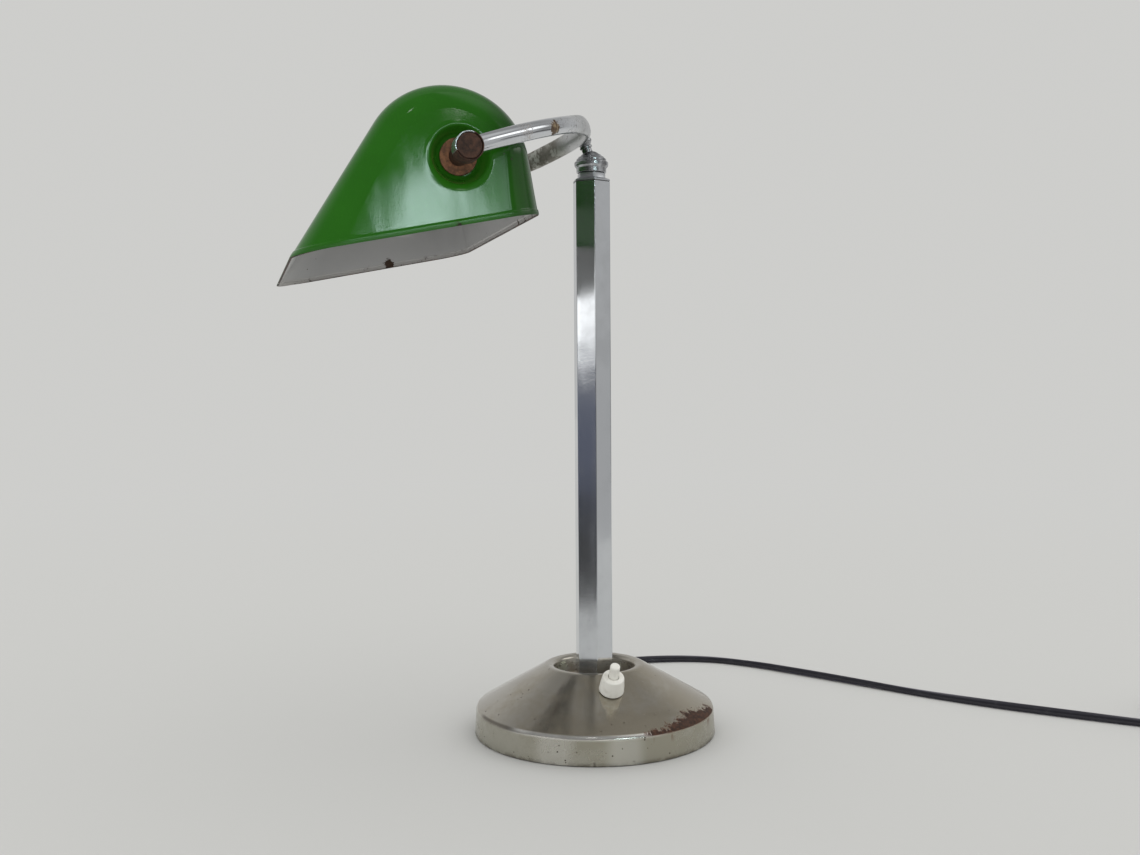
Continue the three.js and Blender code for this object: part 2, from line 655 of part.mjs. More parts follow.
function trunnionPieces(side, name) {
  const plugOut = barrelOuter - barrel.lip;
  const plug = rod(barrel.plugRadius, plugOut - barrel.plugThickness, plugOut, facets.medium);
  const outsideWasher = ring(pivotHole, washer.radius, recessFloor + gap, washerOutside, facets.medium);
  const insideWasher = ring(pivotHole, washer.innerRadius, innerWasherIn, innerWasherOut);
  const along = (geometry) => ontoTrunnion(geometry, side);
  return [
    piece(`barrel_${name}`, along(barrelBody()), 'chrome'),
    piece(`barrel_plug_${name}`, along(plug), 'rustySteel'),
    piece(`pivot_tube_${name}`, along(pivotTube()), 'rustySteel'),
    piece(`pivot_washer_${name}`, along(outsideWasher), 'rustySteel'),
    piece(`inner_washer_${name}`, along(insideWasher), 'steel'),
  ];
}

// ---------------------------------------------------------------- lamp holder and bulb, on the right pivot

const holderBack = innerWasherIn - gap;
const holderMouth = holderBack - holder.length;
const neckEnd = holderBack - holder.neckLength;
const cavityFloor = neckEnd - holder.floor;
const contactOut = cavityFloor - gap;
const tipTop = contactOut - contact.thickness - gap;
const sleeveOuter = holder.cavity - gap;
const capEnd = tipTop - contact.proud;
const capMouth = capEnd - bulb.capLength;
const capInside = bulb.capRadius - bulb.thread - bulb.capWall;

function lampHolder() {
  const h = holder;
  const outside = rounded([
    at(pivotHole, holderBack), at(h.neckRadius, holderBack), at(h.neckRadius, neckEnd), at(h.radius, neckEnd),
    at(h.radius, holderMouth), at(h.cavity, holderMouth),
  ], [0, 0, h.shoulder, h.edge], 2);
  return turned([
    ...outside, [h.cavity, cavityFloor], [pivot.bore, cavityFloor], [pivot.bore, pivotEnd - gap],
    [pivotHole, pivotEnd - gap],
  ]);
}

function bulbCap() {
  const { capRadius, capTaper, thread, threadPitch } = bulb;
  const hole = contact.tipRadius + gap;
  const root = capRadius - thread;
  const ridges = [];
  for (let x = capEnd - capTaper - 1; x > capMouth + threadPitch; x -= threadPitch) {
    ridges.push([root, x], [capRadius, x - threadPitch / 2]);
  }
  return turned([
    [hole, capEnd], [bulb.endRadius, capEnd], [root, capEnd - capTaper], ...ridges, [capRadius, capMouth],
    [capInside, capMouth], [capInside, capEnd - capTaper - bulb.capWall], [hole, capEnd - 2 * bulb.capWall],
  ]);
}

function bulbGlass() {
  const neck = capInside - gap;
  const end = capMouth - bulb.glassLength;
  const r = bulb.glassRadius;
  const dome = arc(r, 0, 0, 90, 4).map(([x, z]) => at(x, end + r - z)).slice(0, 4);
  const line = [
    at(neck, capMouth + bulb.neckDepth), at(neck, capMouth - gap), at(r, capMouth - bulb.shoulder),
    ...dome, at(0, end),
  ];
  const inner = beside(line, -bulb.glassWall);
  inner[inner.length - 1].set(0, end + bulb.glassWall);
  return turned([...line, ...inner.reverse()]);
}

const holderSleeve = ring(sleeveOuter - sleeve.thickness, sleeveOuter, contactOut - sleeve.length,
  contactOut - sleeve.inset);
const holderContact = rod(contact.radius, contactOut - contact.thickness, contactOut, facets.tiny);
const bulbContact = rod(contact.tipRadius, tipTop - contact.tipLength, tipTop, facets.tiny);
const holderPieces = [
  piece('lamp_holder', ontoTrunnion(lampHolder(), 1), 'porcelain'),
  piece('holder_sleeve', ontoTrunnion(holderSleeve, 1), 'brass'),
  piece('holder_contact', ontoTrunnion(holderContact, 1), 'brass'),
  piece('bulb_contact', ontoTrunnion(bulbContact, 1), 'brass'),
  piece('bulb_cap', ontoTrunnion(bulbCap(), 1), 'brass'),
  piece('bulb_glass', ontoTrunnion(bulbGlass(), 1), 'bulbGlass'),
];

// ---------------------------------------------------------------- shade, in its own frame on the trunnion axis

// The outline from the front edge of the mouth over the crown to the back edge, moved inward by inset,
// with the direction of the inward normal at each point. It runs past the mouth by `run`.
function shadeOutline(inset, run, steps) {
  const crown = at(-shade.crownForward, -shade.crownDrop);
  const crownRadius = shade.back + shade.crownForward;
  const radius = crownRadius - inset;
  const edge = at(-shade.front, -shade.mouthDrop).sub(crown);
  const toEdge = Math.atan2(edge.y, edge.x);
  const touch = toEdge - Math.acos(crownRadius / edge.length());
  const slope = at(Math.sin(touch), -Math.cos(touch));
  const points = [];
  const onCrown = (angle) => at(Math.cos(angle), Math.sin(angle)).multiplyScalar(radius).add(crown);
  const length = Math.sqrt(edge.lengthSq() - crownRadius ** 2);
  for (const share of [1 + run / length, 0.82, 0.5, 0.2]) {
    points.push([onCrown(touch).addScaledVector(slope, -length * share), touch]);
  }
  const start = touch < 0 ? touch + 2 * Math.PI : touch;
  for (let i = 0; i <= steps; i++) {
    const angle = start * (1 - i / steps);
    points.push([onCrown(angle), angle]);
  }
  for (const share of [0.4, 1]) {
    points.push([onCrown(0).setY(THREE.MathUtils.lerp(crown.y, -shade.mouthDrop - run, share)), 0]);
  }
  return points;
}

// The shade's form as a closed body: a curved wall with drafted ends and rounded edges.
function shadeForm(inset, run, steps = 13, turnSteps = 4) {
  const turns = Array.from({ length: turnSteps + 1 }, (_, i) => (90 * i) / turnSteps);
  const rings = [];
  const ringFor = (side, turn) => shadeOutline(inset, run, steps).map(([point, angle]) => {
    const low = THREE.MathUtils.smoothstep(-point.y, -10, shade.mouthDrop);
    const radius = THREE.MathUtils.lerp(shade.edgeRadius, shade.cornerRadius, low) - Math.max(inset, 0);
    const inward = radius * (1 - Math.cos(rad(turn)));
    const y = point.x - Math.cos(angle) * inward;
    const z = point.y - Math.sin(angle) * inward;
    const end = shade.halfWidth - inset - (z + shade.mouthDrop) * Math.tan(rad(shade.draft));
    return new THREE.Vector3(side * (end - radius + radius * Math.sin(rad(turn))), y, z);
  });
  for (const turn of [...turns].reverse()) rings.push(ringFor(1, turn));
  for (const turn of turns) rings.push(ringFor(-1, turn));
  return loft(rings);
}

// The round dish pressed into an end of the shade, about Z; grow moves its skin into the shade.
function recessForm(grow) {
  const mouth = at(recess.radius + recess.flare, capAtAxis + recess.flare);
  const beyond = capAtAxis + shade.edgeRadius;
  const skin = rounded([
    at(0, recessFloor), at(recess.floorRadius, recessFloor), at(recess.radius, capAtAxis), mouth,
  ], [recess.bend, recess.bend], 1);
  const moved = beside(skin, -grow);
  return turned([...moved, at(moved[moved.length - 1].x, beyond), at(0, beyond)], facets.medium);
}

function shadeShell() {
  const wide = [-2 * shade.halfWidth, 2 * shade.halfWidth];
  const deep = [-2 * shade.front, 2 * shade.front];
  const mouth = -shade.mouthDrop;
  const overrun = shade.edgeRadius;
  const below = block(wide, deep, [mouth - 2 * overrun, mouth]);
  const hemBand = block(wide, deep, [mouth, mouth + shade.hemWidth]);
  const outer = join(shadeForm(0, overrun), common(shadeForm(-shade.hemStep, overrun), hemBand));
  const recesses = [1, -1].map((side) => alongX(recessForm(0), side));
  const bosses = [1, -1].map((side) => alongX(recessForm(shade.wall), side));
  const hollow = cut(shadeForm(shade.wall, overrun + bite, 9, 3), ...bosses);
  const holes = [1, -1].map((side) => alongX(rod(pivotHole, recessInside - bite, capAtAxis), side));
  return cut(outer, below, hollow, ...recesses, ...holes);
}

const shadeGroup = new THREE.Group();
shadeGroup.position.set(0, -bow.reach, bow.rise);
shadeGroup.rotation.x = rad(shade.tilt - bow.lean);
shadeGroup.add(piece('shade', shadeShell(), 'enamel'));

const pivotNutBody = hexNut(pivotNut.across, pivotHole, holderBack - pivotNut.height, holderBack);
const head = new THREE.Group();
head.position.z = ballHeight;
head.rotation.x = rad(bow.lean);
head.add(
  piece('ball_stud', ballStud(), 'chrome'),
  piece('bow_tube', bowTube(), 'chrome'),
  ...trunnionPieces(1, 'right'),
  ...trunnionPieces(-1, 'left'),
  piece('pivot_nut_left', ontoTrunnion(pivotNutBody, -1), 'steel'),
  ...holderPieces,
  shadeGroup,
);

// ---------------------------------------------------------------- cord, coil and plug

function cordGrommet() {
  const wallOut = base.radius + gap;
  const wallIn = base.radius - base.wall - base.rimTaper - gap;
  const hole = cord.holeRadius - gap;
  const bore = cord.radius + gap;
  const tip = wallOut + grommet.flange + grommet.length;
  const body = turned([
    [bore, wallIn - grommet.inside], [hole + grommet.snap, wallIn - grommet.inside], [hole + grommet.snap, wallIn],
    [hole, wallIn], [hole, wallOut], [grommet.flangeRadius, wallOut],
    [grommet.flangeRadius, wallOut + grommet.flange], [grommet.sleeveRadius, wallOut + grommet.flange + 1],
    [grommet.tipRadius, tip], [bore, tip],
  ]);
  return alongX(body, -1).translate(0, 0, cord.exitHeight);
}

const curveThrough = (points) =>
  new THREE.CatmullRomCurve3(points.map((p) => new THREE.Vector3(...p)), false, 'centripetal');

function coilRing() {
  const { inner, outer, height } = coil;
  return turned([
    [inner, 2], [inner + 2, 0], [outer - 2, 0], [outer, 2], [outer, height / 2], [outer - 3, height - 1],
    [outer - 5, height], [inner + 5, height], [inner + 3, height - 1], [inner, height / 2],
  ], facets.medium).translate(coil.x, coil.y, 0);
}

// The cord's end lies on the coil and turns into the plug.
function tailCurve() {
  const { radius, x, y, from, to, start } = cordTail;
  const end = coil.height + gap + mainsPlug.thickness / 2;
  const points = [];
  for (let i = 0; i <= 8; i++) {
    const angle = rad(from + ((to - from) * i) / 8);
    const lift = THREE.MathUtils.smoothstep(i / 8, 0, 1);
    points.push([
      coil.x + x + radius * Math.cos(angle), coil.y + y + radius * Math.sin(angle),
      THREE.MathUtils.lerp(start, end, lift),
    ]);
  }
  return curveThrough(points);
}

function plugGroup() {
  const p = mainsPlug;
  const outline = rounded([
    at(0, 0), at(0, p.noseWidth / 2), at(p.flare, p.noseWidth / 2), at(p.length - p.flare, p.width / 2),
    at(p.length, p.width / 2), at(p.length, -p.width / 2), at(p.length - p.flare, -p.width / 2),
    at(p.flare, -p.noseWidth / 2), at(0, -p.noseWidth / 2), at(0, 0),
  ], [2, 10, 8, 1.5, 1.5, 8, 10, 2], 2);
  const side = p.edge * 0.7;
  const body = new THREE.ExtrudeGeometry(new THREE.Shape(outline.slice(0, -1)), {
    depth: p.thickness - 2 * p.edge, bevelEnabled: true, bevelThickness: p.edge, bevelSize: side,
    bevelOffset: -side, bevelSegments: 2,
  }).translate(0, 0, p.edge);
  const group = new THREE.Group();
  group.position.set(coil.x + cordTail.x + 2 * gap, coil.y + cordTail.y - cordTail.radius, coil.height + gap);
  const pins = [1, -1].map((hand) => turned([
    [0, gap], [p.pinRadius, gap], [p.pinRadius, p.pinLength - p.pinTaper], [p.pinEnd, p.pinLength], [0, p.pinLength],
  ], facets.tiny).rotateY(Math.PI / 2).translate(p.length, (hand * p.pinSpacing) / 2, p.thickness / 2));
  group.add(
    piece('plug_body', body, 'plugBlack'),
    piece('plug_pin_1', pins[0], 'nickel'),
    piece('plug_pin_2', pins[1], 'nickel'),
  );
  return group;
}

const cordPieces = [
  piece('cord_grommet', cordGrommet(), 'cordBlack'),
  piece('cord_run', swept(curveThrough(cordRoute), cord.radius, 8, 36), 'cordBlack'),
  piece('cord_coil', coilRing(), 'cordBlack'),
  piece('cord_tail', swept(tailCurve(), cord.radius, 8, 8), 'cordBlack'),
  plugGroup(),
];

// ---------------------------------------------------------------- the lamp

const lamp = new THREE.Group();
lamp.add(...basePieces, switchPieces, columnTurn, ...columnPieces, head, ...cordPieces);
lamp.updateMatrixWorld(true);

export default lamp;
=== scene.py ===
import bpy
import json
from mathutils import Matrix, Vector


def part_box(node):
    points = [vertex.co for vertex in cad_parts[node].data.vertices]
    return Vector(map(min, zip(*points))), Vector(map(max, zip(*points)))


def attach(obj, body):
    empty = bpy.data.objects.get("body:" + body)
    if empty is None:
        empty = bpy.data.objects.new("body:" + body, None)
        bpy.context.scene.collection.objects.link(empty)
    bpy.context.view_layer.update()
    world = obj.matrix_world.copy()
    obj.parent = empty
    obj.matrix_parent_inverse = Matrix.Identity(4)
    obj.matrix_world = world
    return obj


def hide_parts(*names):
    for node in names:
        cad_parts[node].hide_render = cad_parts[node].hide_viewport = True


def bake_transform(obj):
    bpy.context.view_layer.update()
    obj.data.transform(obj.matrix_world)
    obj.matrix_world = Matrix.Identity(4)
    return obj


bl_info = {
    "name": "Hexagonal Desk Lamp",
    "version": (1, 0, 0),
    "blender": (4, 5, 0),
    "location": "View3D > Sidebar > Desk Lamp",
    "description": "Dresses a desk lamp: plated base and column, bowed yoke, enamelled shade and cord",
    "category": "Object",
}

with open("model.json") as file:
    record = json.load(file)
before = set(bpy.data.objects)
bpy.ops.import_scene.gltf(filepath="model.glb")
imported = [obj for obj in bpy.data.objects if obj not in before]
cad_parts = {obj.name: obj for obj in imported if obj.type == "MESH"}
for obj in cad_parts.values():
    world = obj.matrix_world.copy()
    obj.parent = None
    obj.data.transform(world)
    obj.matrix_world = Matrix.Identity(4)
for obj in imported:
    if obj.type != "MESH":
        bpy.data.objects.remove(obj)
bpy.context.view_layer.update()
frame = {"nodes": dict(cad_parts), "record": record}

import json
from math import acos, atan, atan2, ceil, cos, pi, radians, sin, sqrt, tan

import bpy
from bpy.props import FloatProperty, FloatVectorProperty, PointerProperty
from mathutils import Matrix, Vector

MM = 0.001
GAP = 0.3 * MM  # clearance between pieces that are screwed or pushed together


def mm(*values):
    """Lengths given in millimetres, in metres."""
    return [value * MM for value in values]


# ------------------------------------------------------------------ sizes and colours

def length(name, millimetres, about):
    """A length with its default in millimetres."""
    return FloatProperty(name=name, description=about, default=millimetres * MM, unit="LENGTH", precision=4)


def angle(name, turn, about):
    """An angle with its default in degrees."""
    return FloatProperty(name=name, description=about, default=radians(turn), subtype="ANGLE",
                         unit="ROTATION")


def number(name, value, about):
    """A share or a count."""
    return FloatProperty(name=name, description=about, default=value)


def colour(name, value, about):
    """A colour in linear values."""
    return FloatVectorProperty(name=name, description=about, default=value, subtype="COLOR", min=0.0, max=1.0)


class BaseSizes(bpy.types.PropertyGroup):
    radius: length("Radius", 80, "Radius of the base at the desk")
    rim_lift: length("Rim lift", 0.4, "Gap between the sheet's edge and the desk")
    rim_height: length("Rim height", 18, "Height of the crease between the rim and the cone")
    rim_taper: length("Rim taper", 1, "By how much the crease is smaller in radius than the edge")
    crease: length("Crease radius", 3.6, "Rounding of the crease")
    crest_radius: length("Crest radius", 31.96, "Radius where the cone meets the crest")
    crest_height: length("Crest height", 45.3, "Height where the cone meets the crest")
    lip_radius: length("Lip radius", 27, "Radius where the crest turns down into the well")
    lip_height: length("Lip height", 44.5, "Height of the lip")
    well_radius: length("Well radius", 24.5, "Radius of the well's floor")
    well_floor: length("Well floor", 32, "Height of the well's floor")
    wall: length("Wall", 1.2, "Thickness of the sheet")


class SwitchSizes(bpy.types.PropertyGroup):
    turn: angle("Turn", -3, "Direction of the switch about the column")
    circle: length("Circle", 45, "Distance of the switch from the column's axis")
    collar_radius: length("Collar radius", 8, "Radius of the threaded collar at the cone")
    collar_top: length("Collar top radius", 6.75, "Radius of the collar's top")
    collar_height: length("Collar height", 12, "Height of the collar")
    plunger_radius: length("Plunger radius", 3.15, "Radius of the push button")
    plunger_out: length("Plunger out", 9.4, "Height of the push button over the collar")


class ColumnSizes(bpy.types.PropertyGroup):
    across: length("Across flats", 22.5, "Width of the hexagonal tube")
    corner: length("Corner radius", 0.9, "Rounding of the tube's edges")
    turn: angle("Turn", -7.5, "Turn of the hexagon about its axis")
    wall: length("Wall", 1.2, "Thickness of the tube")
    collar: length("Collar height", 2.3, "Height of the hexagonal collar on the tube")
    neck_radius: length("Neck radius", 9.6, "Radius of the round neck on the collar")
    neck: length("Neck height", 3.4, "Height of the round neck")


class BowSizes(bpy.types.PropertyGroup):
    ball: length("Ball radius", 7.8, "Radius of the ball")
    lean: angle("Lean", 20.16, "Forward lean of the bow")
    rise: length("Rise", 18.6, "Distance from the ball's centre to the bow")
    reach: length("Reach", 109.8, "Distance from the bow's apex to the trunnion axis")
    tube: length("Tube radius", 5, "Radius of the arms")
    oval_height: length("Oval height", 6.25, "Half height of the pressed oval at the apex")
    oval_thickness: length("Oval thickness", 3.3, "Half thickness of the pressed oval at the apex")
    apex_forward: length("Apex forward", 4.4, "How far the apex lies in front of the stem")
    arm_angle: angle("Arm angle", 73, "Angle between the trunnion axis and the start of an arm")
    arm_share: number("Arm share", 0.58, "How straight the arms run, as a share of the reach")
    apex_share: number("Apex share", 0.45, "How flat the apex runs, as a share of the half span")
    barrel: length("Barrel radius", 7.75, "Radius of the barrels")
    barrel_length: length("Barrel length", 12, "Length of the barrels")
    stand_off: length("Stand-off", 15.3, "Gap between the shade's end and the barrel")


class ShadeSizes(bpy.types.PropertyGroup):
    tilt: angle("Tilt", 10.9, "Forward tilt of the shade")
    wall: length("Wall", 1.2, "Thickness of the sheet")
    crown_forward: length("Crown forward", 5.5, "How far the crown's centre lies in front of the axis")
    crown_drop: length("Crown drop", 4.8, "How far the crown's centre lies below the axis")
    back: length("Back", 41, "Distance from the axis to the back edge")
    front: length("Front", 98.6, "Distance from the axis to the front edge")
    mouth: length("Mouth drop", 37.5, "Distance from the axis down to the mouth")
    half_width: length("Half width", 121.5, "Half of the mouth's width")
    draft: angle("Draft", 3.5, "Inward lean of the ends")
    edge: length("Edge radius", 16, "Rounding between the crown and the ends")
    corner: length("Corner radius", 21, "Rounding of the mouth's corners")
    hem: length("Hem width", 3.0, "Width of the band round the mouth")
    hem_step: length("Hem step", 0.35, "By how much the band stands out")
    recess: length("Recess radius", 16.2, "Radius of the dish at a trunnion")
    recess_floor: length("Recess floor radius", 12, "Radius of the dish's floor")
    recess_depth: length("Recess depth", 7, "Depth of the dish")


class CordSizes(bpy.types.PropertyGroup):
    length: length("Length", 1800, "Length of the flex from the grommet to the plug")
    width: length("Width", 6, "Width of the twin flex")
    thickness: length("Thickness", 4.6, "Thickness of the twin flex")
    coil_inside: length("Coil inside", 27.5, "Radius of the coil's innermost turn")
    coil_top: length("Coil top", 38, "Radius where the top layer ends")
    tail: length("Tail radius", 25, "Radius of the last turn into the plug")
    turns: number("Turns", 5.287, "Turns of the coil, both layers together")
    lower_turns: number("Lower turns", 2.4, "Turns of the coil's lower layer")


class LampColours(bpy.types.PropertyGroup):
    green: colour("Green enamel", (0.018, 0.118, 0.0068), "Outside of the shade")
    # The lining's colour is white enamel darkened to grey as painted shade.
    white: colour("White enamel", (0.41, 0.41, 0.405), "Inside of the shade")
    chrome: colour("Chrome", (0.68, 0.70, 0.73), "Column, joint and bow")
    nickel: colour("Nickel", (0.50, 0.475, 0.42), "Base")
    rust: colour("Rust", (0.105, 0.042, 0.020), "Rust on worn plate")
    ivory: colour("Ivory", (0.80, 0.79, 0.73), "Push switch")
    cord: colour("Cord", (0.012, 0.011, 0.018), "Mains cord")
    paper: colour("Floor", (0.57, 0.57, 0.55), "Floor")
    backdrop: colour("Backdrop", (0.615, 0.615, 0.60), "Pale backdrop")


class CameraSizes(bpy.types.PropertyGroup):
    across: length("Across", 762.94, "Distance from the column towards the side")
    forward: length("Forward", 229.2, "Distance from the column towards the front")
    height: length("Height", 236.56, "Height over the desk")
    heading: angle("Heading", 164.372, "Direction of the view about the column")
    pitch: angle("Pitch", -2.432, "Climb of the view")
    roll: angle("Roll", -0.39, "Roll of the view")
    lens: number("Lens", 37.895, "Focal length in millimetres")


SIZE_GROUPS = {
    "lamp_base": BaseSizes, "lamp_switch": SwitchSizes, "lamp_column": ColumnSizes, "lamp_bow": BowSizes,
    "lamp_shade": ShadeSizes, "lamp_cord": CordSizes, "lamp_colours": LampColours, "lamp_camera": CameraSizes,
}


# ------------------------------------------------------------------ shader expressions

class Wire:
    """A shader socket that can be written in sums and products."""

    def __init__(self, nodes, socket):
        self.nodes = nodes
        self.socket = socket

    def maths(self, operation, *values):
        """A Math node over one or two values."""
        inputs = dict(zip(("Value", "Value_001"), values))
        return self.nodes.add("ShaderNodeMath", {"operation": operation}, **inputs).Value

    def __add__(self, other):
        return self.maths("ADD", self, other)

    __radd__ = __add__

    def __sub__(self, other):
        return self.maths("SUBTRACT", self, other)

    def __rsub__(self, other):
        return self.maths("SUBTRACT", other, self)

    def __mul__(self, other):
        return self.maths("MULTIPLY", self, other)

    __rmul__ = __mul__

    def __truediv__(self, other):
        return self.maths("DIVIDE", self, other)

    def __rtruediv__(self, other):
        return self.maths("DIVIDE", other, self)

    def __abs__(self):
        return self.maths("ABSOLUTE", self)

    def least(self, other):
        """The smaller of two values."""
        return self.maths("MINIMUM", self, other)

    def most(self, other):
        """The larger of two values."""
        return self.maths("MAXIMUM", self, other)

    def step(self, low, high):
        """0 at low, 1 at high and smooth between them; high may be the smaller."""
        settings = {"interpolation_type": "SMOOTHSTEP"}
        return self.nodes.add("ShaderNodeMapRange", settings, Value=self, From_Min=low, From_Max=high).Result

    def near(self, middle, width, soft):
        """1 within width of middle, and 0 from soft further on."""
        return abs(self - middle).step(width + soft, width)


class Added:
    """A node that was added; its outputs are read as attributes."""

    def __init__(self, nodes, node):
        self.nodes = nodes
        self.node = node

    def __getattr__(self, key):
        return Wire(self.nodes, Nodes.find(self.node.outputs, key))


class Nodes:
    """A node tree that is filled by expressions."""

    def __init__(self, tree, place=None):
        self.tree = tree
        self.place = place

    @staticmethod
    def find(sockets, key):
        """The socket in use that has this identifier or name."""
        for label in ("identifier", "name"):
            for socket in sockets:
                if getattr(socket, label).replace(" ", "_") == key and socket.enabled:
                    return socket
        raise KeyError(key)

    def add(self, kind, settings=None, **sockets):
        """Adds any node: its settings first, then the values or links of its sockets."""
        node = self.tree.nodes.new(kind)
        for key, value in (settings or {}).items():
            setattr(node, key, value)
        self.feed(node, **sockets)
        return Added(self, node)

    def feed(self, node, **sockets):
        """Gives sockets their values or links."""
        for key, value in sockets.items():
            socket = self.find(node.inputs, key)
            if isinstance(value, Wire):
                self.tree.links.new(value.socket, socket)
            elif socket.type == "RGBA":
                socket.default_value = (*value[:3], 1.0)
            else:
                socket.default_value = value

    def blend(self, factor, first, second):
        """The first colour where factor is 0 and the second where it is 1."""
        settings = {"data_type": "RGBA", "clamp_factor": True}
        return self.add("ShaderNodeMix", settings, Factor_Float=factor, A_Color=first,
                        B_Color=second).Result_Color

    def coordinates(self, output="Object"):
        """Coordinates in the frame of place, if there is one."""
        found = getattr(self.add("ShaderNodeTexCoord"), output)
        if not self.place:
            return found
        turn = self.place.to_euler()
        return self.add("ShaderNodeMapping", {"vector_type": "TEXTURE"}, Vector=found,
                        Location=self.place.translation, Rotation=turn).Vector

    def axes(self, output="Object"):
        """The three coordinates one by one."""
        parts = self.add("ShaderNodeSeparateXYZ", Vector=self.coordinates(output))
        return parts.X, parts.Y, parts.Z

    def noise(self, scale, detail=3.0, rough=0.55, stretch=(1, 1, 1), shift=(0, 0, 0), warp=0.0):
        """A noise around 0.5, drawn out along an axis where stretch is below 1."""
        place = self.add("ShaderNodeMapping", Vector=self.coordinates(), Scale=stretch, Location=shift).Vector
        return self.add("ShaderNodeTexNoise", Vector=place, Scale=scale, Detail=detail, Roughness=rough,
                        Distortion=warp).Fac

    def specks(self, scale, size):
        """Scattered specks of many sizes, up to a share of the cell: 1 inside them."""
        cells = self.add("ShaderNodeTexVoronoi", Vector=self.coordinates(), Scale=scale)
        chance = self.add("ShaderNodeSeparateColor", Color=cells.Color).Red
        softness = 0.03
        return (cells.Distance - (chance - 0.5) * 2.0 * size).step(softness, -softness)

    def away(self, centre):
        """Distance from a point."""
        settings = {"operation": "DISTANCE"}
        return self.add("ShaderNodeVectorMath", settings, Vector=self.coordinates(), Vector_001=centre).Value


class Finish(Nodes):
    """A material on one Principled shader; constants go straight onto its sockets."""

    def __init__(self, name, place=None, **constants):
        self.material = bpy.data.materials.new(name)
        self.material.use_nodes = True
        super().__init__(self.material.node_tree, place)
        self.shader = self.tree.nodes["Principled BSDF"]
        self.relief = None
        self.feed(self.shader, **constants)

    def surface(self, **sockets):
        """Feeds the shader what changes over the surface."""
        self.feed(self.shader, **sockets)

    def bump(self, height, strength, distance):
        """Adds relief; more than one lie over each other."""
        below = {"Normal": self.relief} if self.relief else {}
        self.relief = self.add("ShaderNodeBump", Height=height, Strength=strength, Distance=distance,
                               **below).Normal
        self.feed(self.shader, Normal=self.relief)


def toned(tint, factor):
    """A colour made darker or lighter."""
    return tuple(min(1.0, part * factor) for part in tint)


# ------------------------------------------------------------------ finishes

# What age has left on the plate, with the painted highlights and the painted dark reflection of the base
PINHOLE = (0.06, 0.045, 0.035)
WORN_APEX = (0.40, 0.40, 0.385)
SCRATCH = (0.09, 0.085, 0.075)
BROWNED_DARK = (0.17, 0.155, 0.13)
BROWNED_LIGHT = (0.29, 0.275, 0.245)
PLATE_FLAKE = (0.52, 0.52, 0.48)
SPOT_OLIVE = (0.27, 0.20, 0.11)
SPOT_BROWN = (0.075, 0.042, 0.018)
TARNISH = (0.105, 0.10, 0.105)
SEAM_DIRT = (0.12, 0.12, 0.12)
PATINA = (0.31, 0.265, 0.185)
BROWN_BLOTCH = (0.20, 0.175, 0.13)
WELL_STAIN = (0.17, 0.12, 0.07)
RIM_GREY = (0.36, 0.36, 0.30)
PAINTED_RIM_SHEEN = (0.72, 0.71, 0.67)
PAINTED_CREASE_HIGHLIGHT = (0.93, 0.92, 0.88)
PAINTED_CREASE_DARK = (0.10, 0.085, 0.07)
FOOT_DIRT = (0.09, 0.07, 0.05)
NICK = (0.06, 0.045, 0.03)
WASHER_ORANGE = (0.175, 0.078, 0.034)

# What age has left on the enamel and its cut edge
ENAMEL_CHIP = (0.022, 0.014, 0.010)
LINING_CHIP = (0.05, 0.03, 0.02)
MOUTH_GRIME = (0.34, 0.31, 0.27)
EDGE_OXIDE = (0.020, 0.017, 0.013)
RUBBED_STEEL = (0.42, 0.42, 0.40)

# The plain materials of the rest, with their dirt
IRON, IRON_RUST = (0.055, 0.055, 0.058), (0.11, 0.065, 0.04)
FELT_DARK, FELT_LIGHT = (0.012, 0.036, 0.017), (0.035, 0.085, 0.045)
PORCELAIN, PORCELAIN_GREY, CRAZE = (0.80, 0.77, 0.70), (0.66, 0.62, 0.53), (0.3, 0.25, 0.2)
FROSTED, BLOOM = (0.84, 0.84, 0.82), (0.5, 0.49, 0.46)
CORD_SHEEN, CORD_DUST = (0.5, 0.45, 0.8), (0.045, 0.043, 0.052)
RUBBER, RUBBER_DIRT = (0.014, 0.013, 0.015), (0.06, 0.055, 0.05)
PLUG_BLACK, PLUG_DIRT, PLUG_NICKEL = (0.010, 0.010, 0.011), (0.05, 0.048, 0.045), (0.60, 0.58, 0.53)
BAKELITE, FIBRE = (0.030, 0.018, 0.012), (0.16, 0.05, 0.03)
COVER_STEEL, SCREW_STEEL, SPRING_STEEL = (0.42, 0.41, 0.39), (0.45, 0.44, 0.42), (0.5, 0.5, 0.5)
BRASS, BRASS_TARNISH = (0.62, 0.48, 0.22), (0.15, 0.09, 0.04)


def chrome_finish(name, colours, haze=0.09, pitting=0.5, extra=None, place=None, relief=1.0):
    """Old chrome plate: bright, a little uneven, with pinholes and haze."""
    f = Finish(name, place, Metallic=1.0)
    plate = tuple(colours.chrome)
    cloud = f.noise(34.0, 4.0, 0.6).step(0.42, 0.72)
    wipe = f.noise(70.0, 3.0, 0.5, stretch=(1, 1, 0.1)).step(0.4, 0.8)
    pins = f.specks(520.0, 0.30 * pitting) * f.noise(45.0, 2.0, shift=(3, 1, 2)).step(0.44, 0.58)
    tint = f.blend(cloud * 0.35, plate, toned(plate, 0.74))
    tint = f.blend(pins, tint, PINHOLE)
    rough = haze + wipe * 0.09 + cloud * 0.05 + pins * 0.4
    metal = 1.0 - pins * 0.6
    if extra:
        tint, rough, metal = extra(f, tint, rough, metal)
    f.surface(Base_Color=tint, Roughness=rough, Metallic=metal)
    f.bump(f.noise(22.0, 2.0, 0.4), 0.18 * relief, 1.2 * MM)
    f.bump(f.noise(700.0, 3.0, 0.6), 0.05 * relief, 0.15 * MM)
    return f.material


